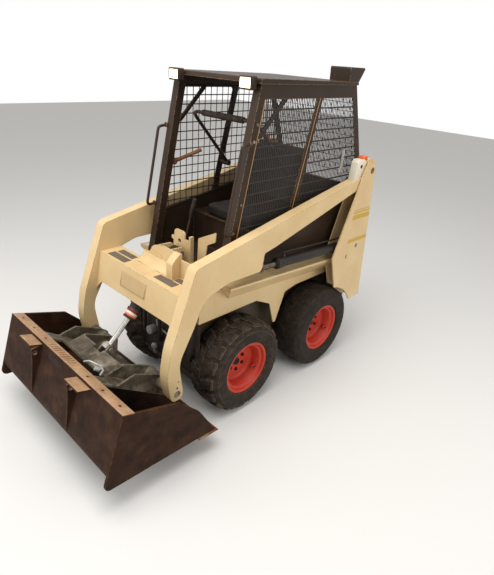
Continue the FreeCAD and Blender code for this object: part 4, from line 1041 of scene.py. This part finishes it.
def makeArmEnds():
    # the ear at the rear end of each arm with its hole and an orange end cap, and the bolts at the feet; the
    # ear is painted pale as a painted patch of sunlight
    ears, caps, bolts = [], [], []
    for side in (1, -1):
        outline = [(480, 1240), (497, 1384), (515, 1400), (566, 1400), (588, 1388), (612, 1330), (600, 1290)]
        ears.append(sidePiece("armEar", side * 380, outline, side * 50, 5))
        # a dark disc on the ear stands for its hole: painted shade
        bolts.append(roundPiece("earHole", (side * 429, 539, 1357), (side * 430.8, 539, 1357), 11, 24))
        caps.append(boxPiece("endCap", (side * 384, 551, 1392), (side * 428, 603, 1417), 8, 3))
        bolts.append(roundPiece("footBolt", (side * 436, -876, 406), (side * 438.4, -876, 406), 5.5, 16, 0.6))
        bolts.append(roundPiece("footGrease", (side * 436, -868, 441), (side * 438.0, -868, 441), 3.5, 12,
            0.5))
    give(joined("armEars", ears), sunlitEarEnamel, "lift_arms", "cream_paint")
    give(joined("armEndCaps", caps), orangePlastic, "lift_arms", "cream_paint")
    give(joined("armBolts", bolts), boltSteelAndHoleShade, "lift_arms", "pin_steel")


makeArmEnds()


def alongAxis(start, end, distance):
    near, far = Vector(start), Vector(end)
    return near + (far - near).normalized() * distance


def makeTiltTrim():
    # head of the tilt cylinder's barrel with its gland and painted bands
    base, eye = (armSizes["tiltX"], -530, 915), (armSizes["tiltX"], -986.7, 463)
    radius = armSizes["barrelRadius"]

    def ring(name, start, end, grow, rounding=0.0):
        return roundPiece(name, alongAxis(base, eye, start), alongAxis(base, eye, end), radius + grow, 40,
            rounding)
    end = armSizes["barrelEnd"]
    body = joined("tiltBarrelHead", [ring("tiltBarrelHead", armSizes["barrelStart"], end - 12, 0),
        ring("tiltGland", end - 14, end, 2.5, 2)])
    give(body, cylinderEnamel, "tilt_cylinder", "barrel_paint")
    for name, start, stop, finish in (("bandMaroon", 396, 417, maroonPaint),
            ("bandWhite", 417, 430, whitePaint), ("bandOrange", 430, 440, orangePlastic)):
        give(ring(name, start, stop, 0.7), finish, "tilt_cylinder", "barrel_paint")


makeTiltTrim()


def makeLiftTrim():
    # glands, ports and bent pressure pipes of the lift cylinders
    for side, label in ((1, "left"), (-1, "right")):
        x = side * 404.5
        base, eye = (x, 600, 838), (x, -300, 897)
        parts = [roundPiece(name, alongAxis(base, eye, start), alongAxis(base, eye, stop), radius, 40,
            rounding) for name, start, stop, radius, rounding in (("liftGland", 738, 764, 33, 2.5),
            ("liftWiper", 762, 770, 24, 1.5), ("liftTail", 26, 44, 31.5, 2))]
        for distance in (80, 700):
            place = alongAxis(base, eye, distance)
            parts.append(roundPiece("liftPort", place, place + Vector((0, 3, 39)), 9, 24, 1.5))
            parts.append(roundPiece("liftNut", place + Vector((0, 3, 36)), place + Vector((0, 3.8, 46)), 8.5,
                6, 1))
        near, far = alongAxis(base, eye, 80), alongAxis(base, eye, 700)
        pipe = [near + Vector((0, 3, 44)), near + Vector((-side * 10, 3, 52)),
            far + Vector((-side * 10, 3, 52)), far + Vector((0, 3, 44))]
        parts.append(tubePiece("liftPipe", pipe, 5, 14))
        give(joined("liftTrim" + label, parts), cylinderEnamel, "lift_cylinder_" + label, "barrel_paint")


makeLiftTrim()
print("arms and cylinders")

# Bucket and attach frame

bucketSizes = {
    # places of the rail's and the back sheet's edges are (y, z)
    "half": 562.0, "railFront": (-1261.9, 532.2), "railRear": (-1200.7, 513.5), "sheetFoot": (-1380.8, 164.0),
    "proud": 2.2, "holes": (-492, -354, -216, 216, 351, 492), "treadLow": -150.0, "treadHigh": 112.0,
    "treadPitch": 24.0,
}


def quad(x0, x1, a, b, skew=0):
    # the corners of a band across the machine from a to b, its far side moved along by the skew
    return [(x0, a.y, a.z), (x1, a.y, a.z), (x1 + skew, b.y, b.z), (x0 + skew, b.y, b.z)]


def makeRailPlate():
    # wear plate along the rail, rubbed bright and paler still as a painted highlight where the lamps above
    # light it, with its bolt holes and raised tread bars
    s = bucketSizes
    (fy, fz), (ry, rz) = s["railFront"], s["railRear"]
    along = Vector((0, ry - fy, rz - fz)).normalized()
    out = Vector((0, -along.z, along.y))
    front, rear = Vector((0, fy, fz)) + along * 1.5, Vector((0, ry, rz)) - along * 1.5
    parts = [sheetPiece("railWearPlate", quad(-s["half"], s["half"], front, rear), out * s["proud"], 0.6)]
    middle = front.lerp(rear, 0.5) + out * s["proud"]
    low, high = middle - along * 19, middle + along * 19
    x = s["treadLow"]
    while x < s["treadHigh"]:
        parts.append(sheetPiece("treadBar", quad(x, x + 9, low, high, 6), out * 4.2, 1.0))
        x += s["treadPitch"]
    give(joined("railWear", parts), railSteelRubbedAndLit, "tool", "rusty_steel")
    # dark discs and strips stand for the rail's holes and the sheet's slots: painted shade inside them
    holes = []
    for x in s["holes"]:
        place = Vector((x, middle.y, middle.z))
        holes.append(roundPiece("railHole", place, place + out * 0.5, 7, 20))
    down = Vector((0, s["sheetFoot"][0] - fy, s["sheetFoot"][1] - fz)).normalized()
    outward = Vector((0, down.z, -down.y))
    for drop in (26, 40):
        upper = Vector((0, fy, fz)) + down * drop
        holes.append(sheetPiece("sheetSlot", quad(-95, 45, upper, upper + down * 7), outward * 0.8))
    give(joined("railHoles", holes), boltSteelAndHoleShade, "tool", "rusty_steel")


makeRailPlate()
# the brackets' faces that point up take the rail's paler steel: rubbed, and a painted highlight on the faces
# lit from above
shelfMesh = nodes["bucket_brackets"].data
shelfMesh.materials.append(railSteelRubbedAndLit)
for polygon in shelfMesh.polygons:
    polygon.material_index = 1 if polygon.normal.z > 0.7 else 0


def makeFlangeBridge():
    # the flange carries on in front of the tilt eye, between its two lugs
    front, rear = Vector((0, -1142, 462.6)), Vector((0, -1052, 478.7))
    give(sheetPiece("flangeBridge", quad(-61, 21, front, rear), (0, 0.9, -5), 1), frameSteel, "tool",
        "worn_steel")


makeFlangeBridge()


def makeLatch():
    # a bent spring rod and its hook plate that hold the frame to the rail, beside the near bracket
    rod = tubePiece("latchRod", [(60, -1168, 498), (84, -1150, 506), (150, -1122, 494), (196, -1140, 503),
        (214, -1168, 500)], 5, 14)
    hook = sheetPiece("latchHook", [(132, -1150, 492), (168, -1132, 486), (176, -1150, 492),
        (158, -1172, 499)], (0, 4, 9), 1.2)
    nut = roundPiece("latchNut", (150, -1126, 488), (150, -1118, 502), 11, 6, 1.2)
    give(joined("latchRodNear", [rod, hook, nut]), brightSteel, "tool", "worn_steel")


makeLatch()
print("bucket and frame")

# Cab trim

trimSizes = {"braceX": 306.0, "postBoltX": 328.0, "seamRadius": 2.2}


def makeCabTrim():
    braces, bolts, seams = [], [], []
    for side in (1, -1):
        outline = [(-296, 1556), (-268, 1556), (-80, 1741), (-114, 1741)]
        braces.append(sidePiece("cornerBrace", side * trimSizes["braceX"], outline, side * 14, 2))
        face = side * trimSizes["postBoltX"]
        for z in (1625, 1546, 1240):
            y = cabFront(z) + 24
            bolts.append(roundPiece("postBolt", (face, y, z), (face + side * 7, y, z), 8, 6, 1.2))
        for low, high in (((face, 24, 1130), (face, 174, 1741)),
                ((face, cabFront(1062) + 45, 1062), (face, cabFront(1741) + 45, 1741))):
            seams.append(tubePiece("screenSeam", [low, high], trimSizes["seamRadius"]))
    give(joined("cornerBraces", braces), cabEnamel, "chassis", "dark_paint")
    give(joined("postBolts", bolts), pinSteel, "chassis", "pin_steel")
    give(joined("screenSeams", seams), rubbedEdge, "chassis", "dark_paint")
    # stay bracket beside the near screen, with its bolt
    outline = [(458, 1452), (470, 1452), (478, 1345), (496, 1318), (478, 1296), (446, 1296), (438, 1318),
        (452, 1345)]
    bracket = sidePiece("stayBracket", 329, outline, 9, 1.5)
    eye = roundPiece("stayEye", (336, 462, 1318), (346, 462, 1318), 9, 24, 1.5)
    give(joined("stayBracketLeft", [bracket, eye]), brightSteel, "chassis", "pin_steel")
    # short hand lever on the far post
    lever = [tubePiece("handLever", [(-318, -318, 1338), (-300, -300, 1344), (-232, -176, 1404)], 11, 12),
        roundPiece("handLeverHub", (-322, -318, 1336), (-300, -318, 1336), 20, 24, 3)]
    give(joined("handLeverFar", lever), rustedBar, "chassis", "pin_steel")


makeCabTrim()
print("cab trim")

# Front of the frame, under the cab

bellySizes = {"half": 286.0, "wallY": -600.0, "low": 214.0, "high": 742.0}


def makeBelly():
    # oily service panel with its bolts, and the pipes, valve and rods in front of it; the panel, bolts, pipes
    # and valve are dark with oil and with painted shade under the cab
    s = bellySizes
    y = s["wallY"]
    panel = boxPiece("bellyPanel", (-s["half"], y - 4, s["low"]), (s["half"], y - 0.5, s["high"]), 1.2)
    panelRecess(panel, lambda middle, normal: normal.y < -0.9, 26, 1.6)
    parts = [panel]
    for x in (-262, -90, 90, 262):
        for z in (s["low"] + 22, s["high"] - 22):
            parts.append(roundPiece("bellyBolt", (x, y - 3, z), (x, y - 10, z), 8, 6, 1.2))
    for x in (-205, -60, 120, 225):
        parts.append(tubePiece("bellyHose", [(x, y - 6, 700), (x + 8, y - 46, 672), (x + 30, y - 40, 520),
            (x + 6, y - 30, 380), (x - 14, y - 8, 330)], 11, 60))
    parts.append(boxPiece("valveBlock", (-70, y - 62, 560), (70, y - 4, 640), 6))
    for x in (-44, 0, 44):
        parts.append(roundPiece("valveSpool", (x, y - 62, 600), (x, y - 88, 600), 13, 24, 2))
    give(joined("bellyDark", parts), bellyOilAndShade, "chassis", "dark_paint")
    bright = [tubePiece("pedalRod", [(-98, y - 12, 467), (-90, y - 14, 430), (44, y - 18, 412)], 5.5, 20),
        roundPiece("filterCan", (-128, y - 6, 392), (-128, y - 52, 392), 27, 32, 4)]
    top = (-96, y - 36, 292)
    ball = made(bpy.ops.mesh.primitive_uv_sphere_add, segments=32, ring_count=16, radius=0.019,
        location=at(*top))
    bright.append(settle(ball, "leverBall"))
    bright.append(tubePiece("leverStem", [top, (-104, y - 30, 240), (-118, y - 6, 222)], 6, 20))
    give(joined("bellyBright", bright), brightSteel, "chassis", "pin_steel")


makeBelly()
print("front of the frame")
